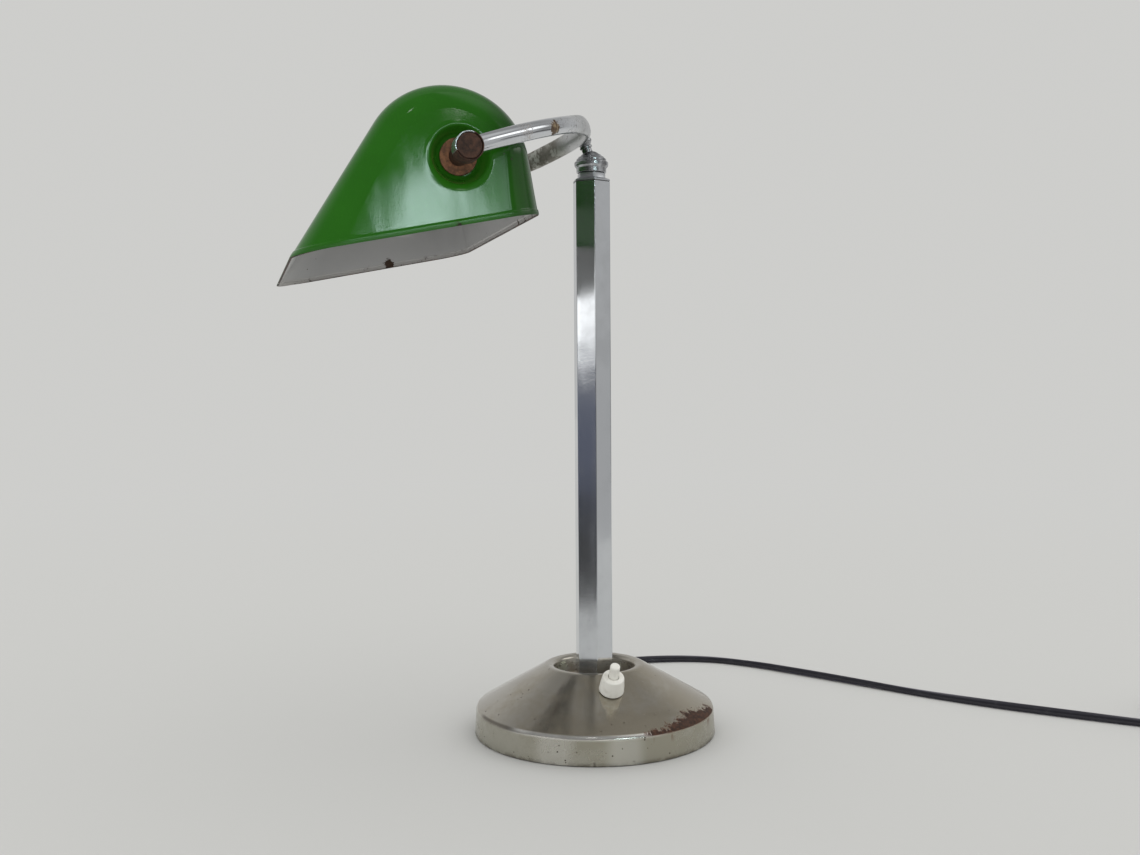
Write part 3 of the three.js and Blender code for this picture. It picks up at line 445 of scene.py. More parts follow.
def rust_over(f, tint, rough, metal, mask, rust):
    """Rust with a brown halo where mask rises to 1."""
    grain = f.noise(420.0, 5.0, 0.7)
    halo = mask.step(0.25, 0.55)
    core = (mask + (grain - 0.5) * 0.55).step(0.62, 0.78)
    tint = f.blend(halo * 0.55, tint, toned(rust, 2.2))
    tint = f.blend(core, tint, f.blend(grain.step(0.35, 0.7), toned(rust, 0.45), toned(rust, 1.35)))
    return tint, rough + halo * 0.14 + core * 0.45, metal - core * 0.9 - halo * 0.15


def column_finish(colours):
    """The column's plate, brighter than the rest."""
    return chrome_finish("column_chrome", colours, haze=0.085, pitting=0.35)


# The rust spot and the faint ring on the near arm, in the ball's frame, in metres.
SPOT = (0.1130, -0.0515, 0.0165)
STAIN = (0.1285, -0.0715, 0.0192)


def bow_finish(place, colours):
    """Hazy chrome, scratched and dull at the apex, browned on the far arm, with one rust spot."""
    def wear(f, tint, rough, metal):
        """What is laid over the plate."""
        x = f.axes()[0]
        blotch = f.noise(85.0, 4.0, 0.65)
        fine = f.noise(300.0, 4.0, 0.7)
        apex = abs(x).step(0.105, 0.075)
        tint = f.blend(apex * 0.55, tint, WORN_APEX)
        scratch = f.noise(420.0, 2.0, 0.5, stretch=(0.12, 1, 1)).near(0.5, 0.012, 0.01)
        scratch = scratch * blotch.step(0.45, 0.6) * abs(x).step(0.13, 0.09)
        tint = f.blend(scratch * 0.7, tint, SCRATCH)
        far = x.step(-0.005, -0.035)
        flakes = (blotch * 0.6 + fine * 0.4).step(0.48, 0.56) * x.step(-0.100, -0.070)
        grain = f.noise(220.0, 4.0, 0.65, stretch=(0.3, 1, 1)).step(0.3, 0.7)
        dull = f.blend(flakes, f.blend(grain, BROWNED_DARK, BROWNED_LIGHT), PLATE_FLAKE)
        tint = f.blend(far, tint, dull)
        ragged = f.noise(360.0, 5.0, 0.75, shift=(0.3, 0.1, 0.2)) - 0.5
        spot = f.away(SPOT).step(8.0 * MM, 1.0 * MM) + ragged * 2.6
        ring = fine.near(0.52, 0.02, 0.025)
        stain = f.away(STAIN).step(8.5 * MM, 4.0 * MM) * ring * 0.55
        mark = spot.step(0.44, 0.6).most(stain)
        tint = f.blend(mark, tint, f.blend(ragged.step(-0.12, 0.06), SPOT_OLIVE, SPOT_BROWN))
        rough = rough + apex * 0.20 + far * 0.26 + mark * 0.4
        return tint, rough, (metal - far * 0.35 - mark * 0.8).most(0.0)
    return chrome_finish("bow_chrome", colours, haze=0.105, pitting=0.45, extra=wear, place=place)


def barrel_finish(colours):
    """Chrome that is left along the upper front of each barrel, and rust on the rest, darkened to half as
    painted shade.
    """
    def wear(f, tint, rough, metal):
        """What is laid over the plate."""
        y, z = f.axes()[1:]
        axis = joint_anchor("shade_tilt")
        facing = ((z - axis.z) - (y - axis.y)) / (10.0 * MM)
        patchy = f.noise(110.0, 5.0, 0.7).step(0.50, 0.66)
        # The lower back of each barrel is rust, made darker to stand in for the shade under the barrel:
        # partly rust, partly painted shade.
        rust_and_painted_shade = facing.step(0.62, 0.30) + (f.noise(240.0, 4.0, 0.7) - 0.5) * 0.4
        return rust_over(f, tint, rough, metal, rust_and_painted_shade.most(patchy), toned(colours.rust, 0.5))
    return chrome_finish("barrel_chrome", colours, haze=0.26, pitting=0.6, extra=wear)


def joint_finish(colours):
    """Tarnished chrome, darker in clouds."""
    def wear(f, tint, rough, metal):
        """What is laid over the plate."""
        grime = f.noise(130.0, 4.0, 0.65, stretch=(1, 1, 0.5)).step(0.40, 0.64)
        tint = f.blend(0.25 + grime * 0.5, tint, TARNISH)
        return tint, rough + grime * 0.10, metal
    return chrome_finish("joint_chrome", colours, haze=0.13, pitting=0.4, extra=wear, relief=0.35)


def collar_finish(colours):
    """Dull chrome of the collar, with a dirty seam over the tube."""
    def wear(f, tint, rough, metal):
        """What is laid over the plate."""
        z = f.axes()[2]
        tube_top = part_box("column_tube")[1].z
        seam = z.step(tube_top + 0.9 * MM, tube_top + 0.3 * MM)
        tint = f.blend(0.22 + seam * 0.6, tint, SEAM_DIRT)
        return tint, rough + 0.14, metal
    return chrome_finish("collar_chrome", colours, haze=0.16, pitting=0.4, extra=wear, relief=0.4)


def nickel_finish(base, colours):
    """Satin nickel with a brown patina, stains in the well and a rust patch on the crease, with painted
    highlights on the crease and rim and a painted dark reflection on the crease.
    """
    f = Finish("base_nickel")
    x, y, z = f.axes()
    plate = tuple(colours.nickel)
    radius = f.add("ShaderNodeVectorMath", {"operation": "LENGTH"},
                   Vector=f.add("ShaderNodeCombineXYZ", X=x, Y=y).Vector).Value
    turn = y.maths("ARCTAN2", y, x)

    def sector(middle, width, soft):
        """1 in a sector about the column, given in degrees."""
        return turn.near(radians(middle), radians(width), radians(soft))

    cloud = f.noise(22.0, 5.0, 0.62)
    fine = f.noise(130.0, 5.0, 0.65)
    brown_side = sector(35.0, 30.0, 45.0)
    patina = (cloud * 0.7 + fine * 0.3 + brown_side * 0.16).step(0.46, 0.68)
    tint = f.blend(patina * 0.62, plate, PATINA)
    blotch = f.noise(9.0, 4.0, 0.6, stretch=(1, 1, 4), shift=(2, 0, 1)).step(0.5, 0.7)
    tint = f.blend(blotch * (0.2 + brown_side * 0.35), tint, BROWN_BLOTCH)
    in_well = radius.step(base.lip_radius + 0.8 * MM, base.lip_radius - 2.5 * MM)
    stain = in_well * fine.step(0.36, 0.56)
    tint = f.blend(stain * 0.55, tint, WELL_STAIN)
    rim = z.step(base.rim_height, base.rim_height - 3.0 * MM)
    tint = f.blend(rim * 0.5, tint, RIM_GREY)
    edge = radius.near(base.radius - base.rim_taper, 0.5 * MM, 1.2 * MM) * (1.0 - rim)
    # Painted highlight: a near-white band along the crease in a sector about -22 degrees, broken up by noise.
    shining = cloud.step(0.38, 0.5) * sector(-22.0, 30.0, 14.0)
    tint = f.blend(edge * shining, tint, PAINTED_CREASE_HIGHLIGHT)
    # Painted dark reflection: a dark band along the crease in a sector about -70 degrees.
    tint = f.blend(edge * sector(-70.0, 10.0, 8.0) * 0.8, tint, PAINTED_CREASE_DARK)
    foot = z.step(3.5 * MM, 0.5 * MM) * fine.step(0.38, 0.55)
    tint = f.blend(foot * 0.6, tint, FOOT_DIRT)
    nicks = sector(-16.9, 0.2, 0.7).most(sector(0.6, 0.2, 0.8))
    nicks = nicks * z.step(3.8 * MM, 1.6 * MM) * fine.step(0.3, 0.5)
    # Painted reflection: lighter patches on the rim in two sectors, standing in for the mirrored floor.
    sheen = sector(-35.0, 4.0, 8.0).most(sector(-3.0, 4.0, 7.0))
    tint = f.blend(rim * sheen * 0.38, tint, PAINTED_RIM_SHEEN)
    pins = (f.specks(330.0, 0.20) * cloud.step(0.4, 0.55)).most(nicks)
    tint = f.blend(pins, tint, NICK)
    rough = 0.085 + patina * 0.09 + fine * 0.04 + rim * 0.1 + in_well * 0.22 + stain * 0.1
    rough = rough + foot * 0.2 + pins * 0.3
    metal = 1.0 - patina * 0.12 - stain * 0.3 - pins * 0.5
    patch_start, patch_span = radians(3.0), radians(62.0)
    deepest, shallowest, ragged, border = mm(15.0, 0.6, 19.0, 2.5)
    along = (turn - patch_start) / patch_span
    streaks = f.noise(34.0, 4.0, 0.75, stretch=(5, 5, 1), warp=0.6) - 0.5
    reach = along.most(0.0).least(1.2 - along) * deepest + shallowest + streaks * ragged
    inside = (radius - (base.radius - base.rim_taper - shallowest - reach)) / border
    ends = along.step(-0.02, 0.12) * along.step(1.02, 0.9)
    on_cone = z.step(base.rim_height - 2.5 * MM, base.rim_height - 0.5 * MM)
    patch = inside.least(1.0).most(0.0) * ends * on_cone
    drips = f.noise(110.0, 3.0, 0.6, stretch=(1, 1, 0.12)).step(0.5, 0.66)
    runs = ends * rim * drips * z.step(4.0 * MM, 17.0 * MM)
    tint, rough, metal = rust_over(f, tint, rough, metal, patch.most(runs * 0.55), toned(colours.rust, 0.65))
    f.surface(Base_Color=tint, Roughness=rough, Metallic=metal.most(0.0))
    f.bump(f.noise(12.0, 2.0, 0.4), 0.14, 1.2 * MM)
    f.bump(f.noise(520.0, 4.0, 0.65) + patch * fine * 2.0, 0.08, 0.25 * MM)
    return f.material


def enamel_finish(place, shade, colours):
    """Glossy green enamel with slow waves, a speckled skin and chips along the mouth."""
    f = Finish("shade_green", place, Specular_IOR_Level=0.40)
    y, z = f.axes()[1:]
    green = tuple(colours.green)
    cloud = f.noise(16.0, 4.0, 0.6)
    fine = f.noise(900.0, 3.0, 0.7)
    tint = f.blend(cloud.step(0.3, 0.72) * 0.5, green, toned(green, 0.72))
    tint = f.blend(fine.step(0.55, 0.75) * 0.25, tint, toned(green, 1.6))
    # Painted shade: the back of the shade is darkened towards a third of its green.
    shaded_back = y.step(12.0 * MM, 34.0 * MM)
    tint = f.blend(shaded_back * 0.8, tint, toned(green, 0.3))
    mouth = z.step(shade.hem * 1.3 - shade.mouth, shade.hem * 0.2 - shade.mouth)
    worn = mouth * f.noise(95.0, 5.0, 0.72).step(0.62, 0.70)
    chips = (f.specks(260.0, 0.16) * f.noise(30.0, 2.0, shift=(1, 5, 2)).step(0.58, 0.66)).most(worn)
    tint = f.blend(chips, tint, ENAMEL_CHIP)
    dust = f.noise(60.0, 5.0, 0.7, stretch=(1, 1, 0.25)).step(0.5, 0.8)
    f.surface(Base_Color=tint, Roughness=0.045 + dust * 0.05 + mouth * 0.32 + chips * 0.5)
    streaks = f.noise(34.0, 2.0, 0.5, stretch=(1, 1, 0.22))
    f.bump(f.noise(13.0, 1.0, 0.4), 0.30, 2.0 * MM)
    f.bump(streaks, 0.22, 0.7 * MM)
    f.bump(fine - chips * 1.5, 0.05, 0.15 * MM)
    return f.material


# Large chips of the lining: centre in the shade's frame, in metres, and radius.
LINING_CHIPS = [
    ((-0.1201, -0.0150, -0.0350), 3.0 * MM), ((0.0753, 0.0398, -0.0372), 2.4 * MM),
    ((0.0590, 0.0398, -0.0365), 1.5 * MM), ((0.0930, 0.0398, -0.0370), 1.8 * MM),
]


def lining_finish(place, shade, colours):
    """White enamel, darkened to grey as painted shade, with specks and brown chips at the mouth."""
    f = Finish("shade_white", place, Specular_IOR_Level=0.2)
    z = f.axes()[2]
    # This grey is painted shade over white enamel.
    white = tuple(colours.white)
    cloud = f.noise(24.0, 4.0, 0.6)
    tint = f.blend(cloud.step(0.35, 0.7) * 0.35, white, toned(white, 0.82))
    mouth = z.step(5.0 * MM - shade.mouth, 0.6 * MM - shade.mouth)
    chips = f.specks(230.0, 0.12).most(mouth * f.noise(120.0, 5.0, 0.72).step(0.58, 0.66))
    ragged = (f.noise(260.0, 4.0, 0.7, stretch=(1, 0.45, 1)) - 0.5) * 14.0 * MM
    softness = 0.4 * MM
    for centre, size in LINING_CHIPS:
        chips = chips.most((f.away(centre) + ragged).step(size + softness, size - softness))
    tint = f.blend(mouth * 0.35, tint, MOUTH_GRIME)
    tint = f.blend(chips, tint, LINING_CHIP)
    f.surface(Base_Color=tint, Roughness=0.35 + chips * 0.4)
    f.bump(f.noise(20.0, 2.0, 0.4), 0.2, 1.2 * MM)
    return f.material


def edge_finish(colours):
    """The cut edge of the sheet: dark oxide with a few bright rubbed places."""
    f = Finish("shade_edge")
    grain = f.noise(260.0, 4.0, 0.7)
    tint = f.blend(grain.step(0.4, 0.62), EDGE_OXIDE, toned(tuple(colours.rust), 0.7))
    shining = f.noise(60.0, 3.0, 0.6).step(0.60, 0.68)
    tint = f.blend(shining, tint, RUBBED_STEEL)
    f.surface(Base_Color=tint, Roughness=0.65 - shining * 0.35, Metallic=shining * 0.8)
    f.bump(grain, 0.3, 0.2 * MM)
    return f.material


def rust_finish(name, tint):
    """Steel rusted all over, lighter and darker in grains and clouds."""
    f = Finish(name)
    grain = f.noise(380.0, 6.0, 0.72)
    cloud = f.noise(90.0, 4.0, 0.6)
    shown = f.blend(grain.step(0.3, 0.7), toned(tint, 0.4), toned(tint, 1.5))
    shown = f.blend(cloud.step(0.5, 0.75) * 0.6, shown, toned(tint, 0.35))
    f.surface(Base_Color=shown, Roughness=0.72)
    f.bump(grain + cloud * 0.5, 0.5, 0.25 * MM)
    return f.material


def metal_finish(name, tint, rough=0.35, tarnish=(0.10, 0.08, 0.06), amount=0.4, scale=90.0):
    """Bare metal with tarnish in clouds."""
    f = Finish(name, Metallic=1.0)
    cloud = f.noise(scale, 5.0, 0.65).step(0.42, 0.68) * amount
    fine = f.noise(scale * 7.0, 3.0, 0.6)
    f.surface(Base_Color=f.blend(cloud, tint, tarnish), Roughness=rough + cloud * 0.3 + fine * 0.06)
    f.bump(fine, 0.12, 0.15 * MM)
    return f.material


def iron_finish():
    """Cast iron with a sandy skin."""
    f = Finish("cast_iron", Metallic=0.7)
    sand = f.noise(650.0, 4.0, 0.7)
    cloud = f.noise(70.0, 4.0, 0.6).step(0.45, 0.7)
    f.surface(Base_Color=f.blend(cloud, IRON, IRON_RUST), Roughness=0.6 + cloud * 0.2)
    f.bump(sand, 0.6, 0.4 * MM)
    return f.material


def felt_finish():
    """Pressed green felt: short matted fibres."""
    f = Finish("green_felt", Roughness=1.0, Sheen_Weight=0.5, Sheen_Roughness=0.5)
    fibre = f.noise(1500.0, 5.0, 0.75, stretch=(1, 0.35, 1))
    mat = f.noise(240.0, 4.0, 0.7)
    f.surface(Base_Color=f.blend(fibre.step(0.3, 0.7), FELT_DARK, FELT_LIGHT))
    f.bump(fibre + mat, 0.7, 0.5 * MM)
    return f.material


def plastic_finish(name, tint, rough=0.3, dirt=(0.30, 0.26, 0.18), amount=0.3, coat=0.2):
    """Moulded plastic with a fine grain and dirt in clouds."""
    f = Finish(name, Coat_Roughness=0.15, Coat_Weight=coat)
    cloud = f.noise(110.0, 5.0, 0.65).step(0.5, 0.72) * amount
    grain = f.noise(1300.0, 2.0, 0.5)
    f.surface(Base_Color=f.blend(cloud, tint, dirt), Roughness=rough + cloud * 0.2 + grain * 0.06)
    f.bump(grain, 0.10, 0.08 * MM)
    return f.material


def porcelain_finish():
    """Cream porcelain, greyed in clouds, with fine crazing."""
    f = Finish("porcelain", Coat_Weight=0.6, Coat_Roughness=0.05)
    cloud = f.noise(60.0, 4.0, 0.6).step(0.4, 0.75)
    craze = f.noise(500.0, 2.0, 0.5).near(0.5, 0.004, 0.006)
    tint = f.blend(cloud * 0.4, PORCELAIN, PORCELAIN_GREY)
    f.surface(Base_Color=f.blend(craze * 0.3, tint, CRAZE), Roughness=0.16 + cloud * 0.08)
    f.bump(cloud, 0.15, 0.4 * MM)
    return f.material


def bulb_finish(place):
    """Frosted white glass with a grey bloom towards the cap."""
    f = Finish("frosted_glass", place, IOR=1.5, Coat_Weight=0.4, Coat_Roughness=0.08)
    z = f.axes()[2]
    bloom = z.step(55.0 * MM, 75.0 * MM) * f.noise(60.0, 3.0, 0.6).step(0.2, 0.7)
    fine = f.noise(1800.0, 2.0, 0.5)
    f.surface(Base_Color=f.blend(bloom * 0.5, FROSTED, BLOOM), Roughness=0.35 + fine * 0.1)
    f.bump(fine, 0.08, 0.05 * MM)
    return f.material


def cord_finish(colours):
    """Black flex with a dull violet sheen and a little dust."""
    f = Finish("cord_black", Sheen_Weight=0.25, Sheen_Roughness=0.35, Sheen_Tint=CORD_SHEEN, Coat_Weight=0.15,
               Coat_Roughness=0.3)
    dust = f.noise(180.0, 5.0, 0.7).step(0.52, 0.75)
    fine = f.noise(1500.0, 3.0, 0.6)
    tint = tuple(colours.cord)
    f.surface(Base_Color=f.blend(dust * 0.6, tint, CORD_DUST), Roughness=0.34 + dust * 0.2 + fine * 0.08)
    f.bump(fine, 0.15, 0.08 * MM)
    return f.material


# ------------------------------------------------------------------ outlines and meshes

def right_of(direction):
    """A direction turned a right angle clockwise."""
    return Vector((direction.y, -direction.x))


def turned_by(vector, turn):
    """A vector in the plane, turned anticlockwise."""
    return Vector((vector.x * cos(turn) - vector.y * sin(turn), vector.x * sin(turn) + vector.y * cos(turn)))


SIDE_SHARE = 0.49  # of a side, the most that one rounding takes
FINEST_TURN, COARSEST_TURN = radians(4), radians(18)  # per step of a rounding
TINY = 1e-6
ON_AXIS = 1e-7  # a point this close to the axis lies on it


def bent(points, radii, closed=True, chord=0.6 * MM):
    """An outline with rounded corners: (point, normal) pairs, the normal to the right of its travel."""
    line = []
    corners = [Vector(p) for p in points]
    for i, corner in enumerate(corners):
        if not closed and i in (0, len(corners) - 1):
            beside = corners[1] - corners[0] if i == 0 else corners[-1] - corners[-2]
            line.append((corner, right_of(beside.normalized())))
            continue
        into = corner - corners[i - 1]
        out = corners[(i + 1) % len(corners)] - corner
        turn = atan2(into.x * out.y - into.y * out.x, into.dot(out))
        half = abs(tan(turn / 2))
        reach = min(radii[i] * half, SIDE_SHARE * into.length, SIDE_SHARE * out.length)
        radius = reach / max(half, TINY) * (1 if turn > 0 else -1)
        start = right_of(into.normalized())
        centre = corner - into.normalized() * reach - start * radius
        step = min(COARSEST_TURN, max(FINEST_TURN, chord / max(abs(radius), TINY)))
        steps = max(1, ceil(abs(turn) / step))
        for k in range(steps + 1):
            normal = turned_by(start, turn * k / steps)
            line.append((centre + normal * radius, normal))
    return line


def arc_line(radius, start, end, steps):
    """An arc of (point, normal) pairs about the origin."""
    spokes = [turned_by(Vector((1, 0)), start + (end - start) * k / steps) for k in range(steps + 1)]
    return [(spoke * radius, spoke) for spoke in spokes]


def lathe(line, sides=96, closed=True):
    """Turns an outline of (point, normal) pairs about Z into vertices, normals and faces."""
    verts, normals, rings, faces = [], [], [], []
    for point, normal in line:
        if point.x < ON_AXIS:
            rings.append([len(verts)] * sides)
            verts.append((0, 0, point.y))
            normals.append((0, 0, 1 if normal.y >= 0 else -1))
            continue
        rings.append(list(range(len(verts), len(verts) + sides)))
        for i in range(sides):
            turn = 2 * pi * i / sides
            verts.append((point.x * cos(turn), point.x * sin(turn), point.y))
            normals.append((normal.x * cos(turn), normal.x * sin(turn), normal.y))
    pairs = list(zip(rings, rings[1:]))
    if closed and rings[0][0] != rings[0][-1]:
        pairs.append((rings[-1], rings[0]))
    for low, high in pairs:
        for i in range(sides):
            j = (i + 1) % sides
            corners = [low[i], low[j], high[j], high[i]]
            face = [c for k, c in enumerate(corners) if c != corners[k - 1]]
            if len(face) > 2:
                faces.append(face)
    return verts, normals, faces


def skin(rings, closed_ends=False, looped=False):
    """Faces over closed rings of equal length; looped joins the last ring to the first."""
    count = len(rings[0])
    verts = [tuple(p) for ring in rings for p in ring]
    faces = []
    last = len(rings) if looped else len(rings) - 1
    for j in range(last):
        k = (j + 1) % len(rings)
        for i in range(count):
            n = (i + 1) % count
            faces.append([j * count + i, j * count + n, k * count + n, k * count + i])
    if closed_ends:
        faces.append(list(reversed(range(count))))
        faces.append([(len(rings) - 1) * count + i for i in range(count)])
    return verts, faces


def make(name, verts, faces, materials, place=None, normals=None, body=None, replaces=()):
    """Builds a piece in the row frame and joins it to its body."""
    mesh = bpy.data.meshes.new(name)
    place = place or Matrix.Identity(4)
    mesh.from_pydata([place @ Vector(v) for v in verts], [], faces)
    mesh.validate()
    for material in materials:
        mesh.materials.append(material)
    mesh.polygons.foreach_set("use_smooth", [True] * len(mesh.polygons))
    if normals:
        turn = place.to_3x3()
        mesh.normals_split_custom_set_from_vertices([turn @ Vector(n) for n in normals])
    mesh.update()
    piece = bpy.data.objects.new(name, mesh)
    bpy.context.scene.collection.objects.link(piece)
    if body:
        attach(piece, body)
    if replaces:
        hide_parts(*replaces)
    return piece


def turned_piece(name, line, material, node, sides=96, closed=True, place=None):
    """A turned piece that stands for a CAD node and rides on its body."""
    verts, normals, faces = lathe(line, sides, closed)
    return make(name, verts, faces, [material], place=place, normals=normals, body=body_with(node),
                replaces=[node])


def dress(finish, *nodes):
    """Gives CAD nodes a material in place of the plain one."""
    for node in nodes:
        for slot in frame["nodes"][node].material_slots:
            slot.material = finish


# ------------------------------------------------------------------ places

def joint_anchor(name):
    """A point on a joint's axis."""
    return Vector(next(j for j in frame["record"]["behaviour"]["joints"] if j["name"] == name)["pos_m"])


def head_place(bow):
    """The ball's frame: its Z runs up the stem, and the bow lies in a plane across it."""
    return Matrix.Translation(joint_anchor("swivel")) @ Matrix.Rotation(bow.lean, 4, "X")


def trunnion_place(bow, side):
    """A trunnion's frame: its Z points outward along the axis."""
    along = Matrix.Rotation(side * pi / 2, 4, "Y")
    return head_place(bow) @ Matrix.Translation((0, -bow.reach, bow.rise)) @ along


def shade_place(shade):
    """The shade's frame: its origin is the middle of the trunnion axis."""
    return Matrix.Translation(joint_anchor("shade_tilt")) @ Matrix.Rotation(shade.tilt, 4, "X")


def cone_slope(base):
    """Rise of the base's cone for each step inward."""
    return (base.crest_height - base.rim_height) / (base.radius - base.rim_taper - base.crest_radius)


def switch_place(base, switch):
    """The switch's frame: its Z stands square on the cone."""
    slope = cone_slope(base)
    height = base.rim_height + (base.radius - base.rim_taper - switch.circle) * slope
    seat = Matrix.Translation((switch.circle, 0, height)) @ Matrix.Rotation(atan(slope), 4, "Y")
    return Matrix.Rotation(switch.turn, 4, "Z") @ seat


def body_with(node):
    """The body that a CAD node belongs to."""
    return next(body for body, nodes in frame["record"]["behaviour"]["bodies"].items() if node in nodes)


# ------------------------------------------------------------------ pieces

def lerp(first, second, share):
    """A value on the way from the first to the second."""
    return first + (second - first) * share


def smooth(value, low, high):
    """0 at low, 1 at high and smooth between them."""
    share = min(1.0, max(0.0, (value - low) / (high - low)))
    return share * share * (3 - 2 * share)


def sheet_outline(points, radii, wall):
    """A closed outline of sheet metal from its outer line, with round edges."""
    outer = bent(points, radii, closed=False)
    inner = [(point - normal * wall, -normal) for point, normal in reversed(outer)]

    def edge(point, normal):
        """Half a turn round the cut edge."""
        steps = 6
        spokes = [turned_by(normal, pi * k / steps) for k in range(1, steps)]
        return [(point - normal * wall / 2 + spoke * wall / 2, spoke) for spoke in spokes]

    return outer + edge(*outer[-1]) + inner + edge(*inner[-1])


def base_shell(base, material):
    """The pressed base: rim, cone, crest and the well round the column's foot."""
    outer = [
        (base.radius, base.rim_lift + base.wall / 2), (base.radius - base.rim_taper, base.rim_height),
        (base.crest_radius, base.crest_height), (base.lip_radius, base.lip_height),
        (base.well_radius, base.well_floor), (centre_hole(), base.well_floor),
    ]
    crest_round, lip_round, well_round = mm(5, 2.8, 3)
    radii = [0, base.crease, crest_round, lip_round, well_round, 0]
    line = sheet_outline(outer, radii, base.wall)
    turned_piece("base_plated_shell", line, material, "base_shell", sides=192)


def centre_hole():
    """Radius of the hole that the tie tube passes through."""
    low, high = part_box("tie_tube")
    return (high.x - low.x) / 2 + GAP


def switch_collar(place, switch, material):
    """The threaded collar: a short skirt, a rounded shoulder and a cone up to the button."""
    foot, top, height = switch.collar_radius, switch.collar_top, switch.collar_height
    bore = switch.plunger_radius + GAP
    ledge, neck, skirt_step, skirt_top, shoulder_step = mm(7.0, 5.2, 0.4, 1.0, 0.3)
    shoulder = height * 0.44
    line = bent([
        (foot - skirt_step, GAP), (foot, skirt_top), (foot - shoulder_step, shoulder), (top, height),
        (bore, height), (bore, ledge), (neck, ledge), (neck, GAP),
    ], mm(0.2, 0.5, 2.2, 1.2, 0.3, 0.1, 0.1, 0.1), chord=0.25 * MM)
    turned_piece("switch_ivory_collar", line, material, "switch_collar", place=place)


def switch_plunger(place, switch, material):
    """The push button with its flange and the pin that guides the spring."""
    radius, top = switch.plunger_radius, switch.collar_height + switch.plunger_out
    pin, pin_length, flange, flange_height, flange_top = mm(1.7, 8, 3.65, 2, 6.7)
    flange_foot = flange_top - flange_height
    line = bent([
        (0, flange_foot - pin_length), (pin, flange_foot - pin_length), (pin, flange_foot),
        (flange, flange_foot), (flange, flange_top), (radius, flange_top), (radius, top), (0, top),
    ], mm(0, 0.4, 0.1, 0.2, 0.2, 0.1, 2.2, 0), closed=False, chord=0.25 * MM)
    turned_piece("switch_push_button", line, material, "switch_plunger", sides=64,
                 closed=False, place=place)


def tube_ring(centre, across, up, sides):
    """A ring of points round a centre; across and up set its half width and half height."""
    turns = [2 * pi * i / sides for i in range(sides)]
    return [centre + across * cos(turn) + up * sin(turn) for turn in turns]


def switch_coil(place, material):
    """The coil spring under the push button."""
    low, high, radius, wire = mm(-14.7, 4.4, 2.75, 0.33)
    turns, steps = 7, 32
    rings = []
    for k in range(turns * steps + 1):
        turn = 2 * pi * k / steps
        out = Vector((cos(turn), sin(turn), 0))
        height = lerp(low + wire, high - wire, k / (turns * steps))
        rings.append(tube_ring(out * radius + Vector((0, 0, height)), out * wire, Vector((0, 0, wire)), 10))
    verts, faces = skin(rings, closed_ends=True)
    faces = [list(reversed(face)) for face in faces]
    piece = make("switch_coil_spring", verts, faces, [material], place=place, replaces=["switch_spring"])
    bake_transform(piece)


def hexagon(across, corner, chord=0.18 * MM):
    """The column's outline, with its corners rounded."""
    tip = across / 2 / cos(pi / 6)
    points = [(tip * cos(pi / 3 * k), tip * sin(pi / 3 * k)) for k in range(6)]
    return bent(points, [corner] * 6, chord=chord)


def column_tube(column, material):
    """A hexagonal tube with exact flats and a fine break on its ends."""
    low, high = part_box("column_tube")
    outer = hexagon(column.across, column.corner)
    inner = [(point - normal * column.wall, normal) for point, normal in outer]
    ease = 0.2 * MM
    rings, normals = [], []
    for line, inset, height, up in [
        (outer, ease, low.z, -1), (outer, 0, low.z + ease, 0), (outer, 0, high.z - ease, 0),
        (outer, ease, high.z, 1), (inner, 0, high.z, 1), (inner, 0, low.z, -1),
    ]:
        rings.append([(*(point - normal * inset), height) for point, normal in line])
        normals += [(0, 0, up) if up else (*normal, 0) for point, normal in line]
    verts, faces = skin(rings, looped=True)
    turn = Matrix.Rotation(column.turn, 4, "Z")
    make("column_hex_tube", verts, faces, [material], place=turn, normals=normals,
         body=body_with("column_tube"), replaces=["column_tube"])


def column_head(column, material):
    """The hexagonal collar with its turned chamfer, the round neck, the spigot and the insert below."""
    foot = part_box("column_tube")[1].z + GAP
    top = foot + column.collar
    neck, neck_top = column.neck_radius, top + column.neck
    insert_foot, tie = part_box("column_head")[0].z, centre_hole()
    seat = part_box("pressure_spring")[0].z - GAP
    spigot, bore, spigot_height = mm(8.3, 7.1, 2.6)
    ease, fillet, fillet_height, neck_round = mm(0.15, 0.1, 0.4, 0.3)
    chamfer_from, chamfer_slope = neck + 0.5 * MM, 0.42
    line = hexagon(column.across, column.corner)

    def prism(inset, height):
        """The hexagon drawn in by inset, at one height."""
        return [(*(point - normal * inset), height) for point, normal in line]

    def flank(inset, lift):
        """The hexagon where the chamfer cuts it: lowest at its corners."""
        heights = [top - (point.length - chamfer_from) * chamfer_slope + lift for point, _ in line]
        return [(*(point - normal * inset), height) for (point, normal), height in zip(line, heights)]

    def circle(radius, height):
        """A circle with as many points as the hexagon."""
        return [(*(point.normalized() * radius), height) for point, _ in line]

    insert = column.wall + GAP
    rings = [
        prism(insert, insert_foot), prism(insert, foot), prism(ease, foot), prism(0, foot + ease),
        flank(0, -ease), flank(ease, 0), circle(chamfer_from, top), circle(neck + fillet, top + fillet),
        circle(neck, top + fillet_height), circle(neck, neck_top - neck_round),
        circle(neck - neck_round, neck_top), circle(spigot, neck_top),
        circle(spigot, neck_top + spigot_height), circle(bore, neck_top + spigot_height),
        circle(bore, seat), circle(tie, seat), circle(tie, insert_foot),
    ]
    verts, faces = skin(rings, looped=True)
    head = make("column_hex_collar", verts, faces, [material], place=Matrix.Rotation(column.turn, 4, "Z"),
                body=body_with("column_head"), replaces=["column_head"])
    head.data.set_sharp_from_angle(angle=radians(38))


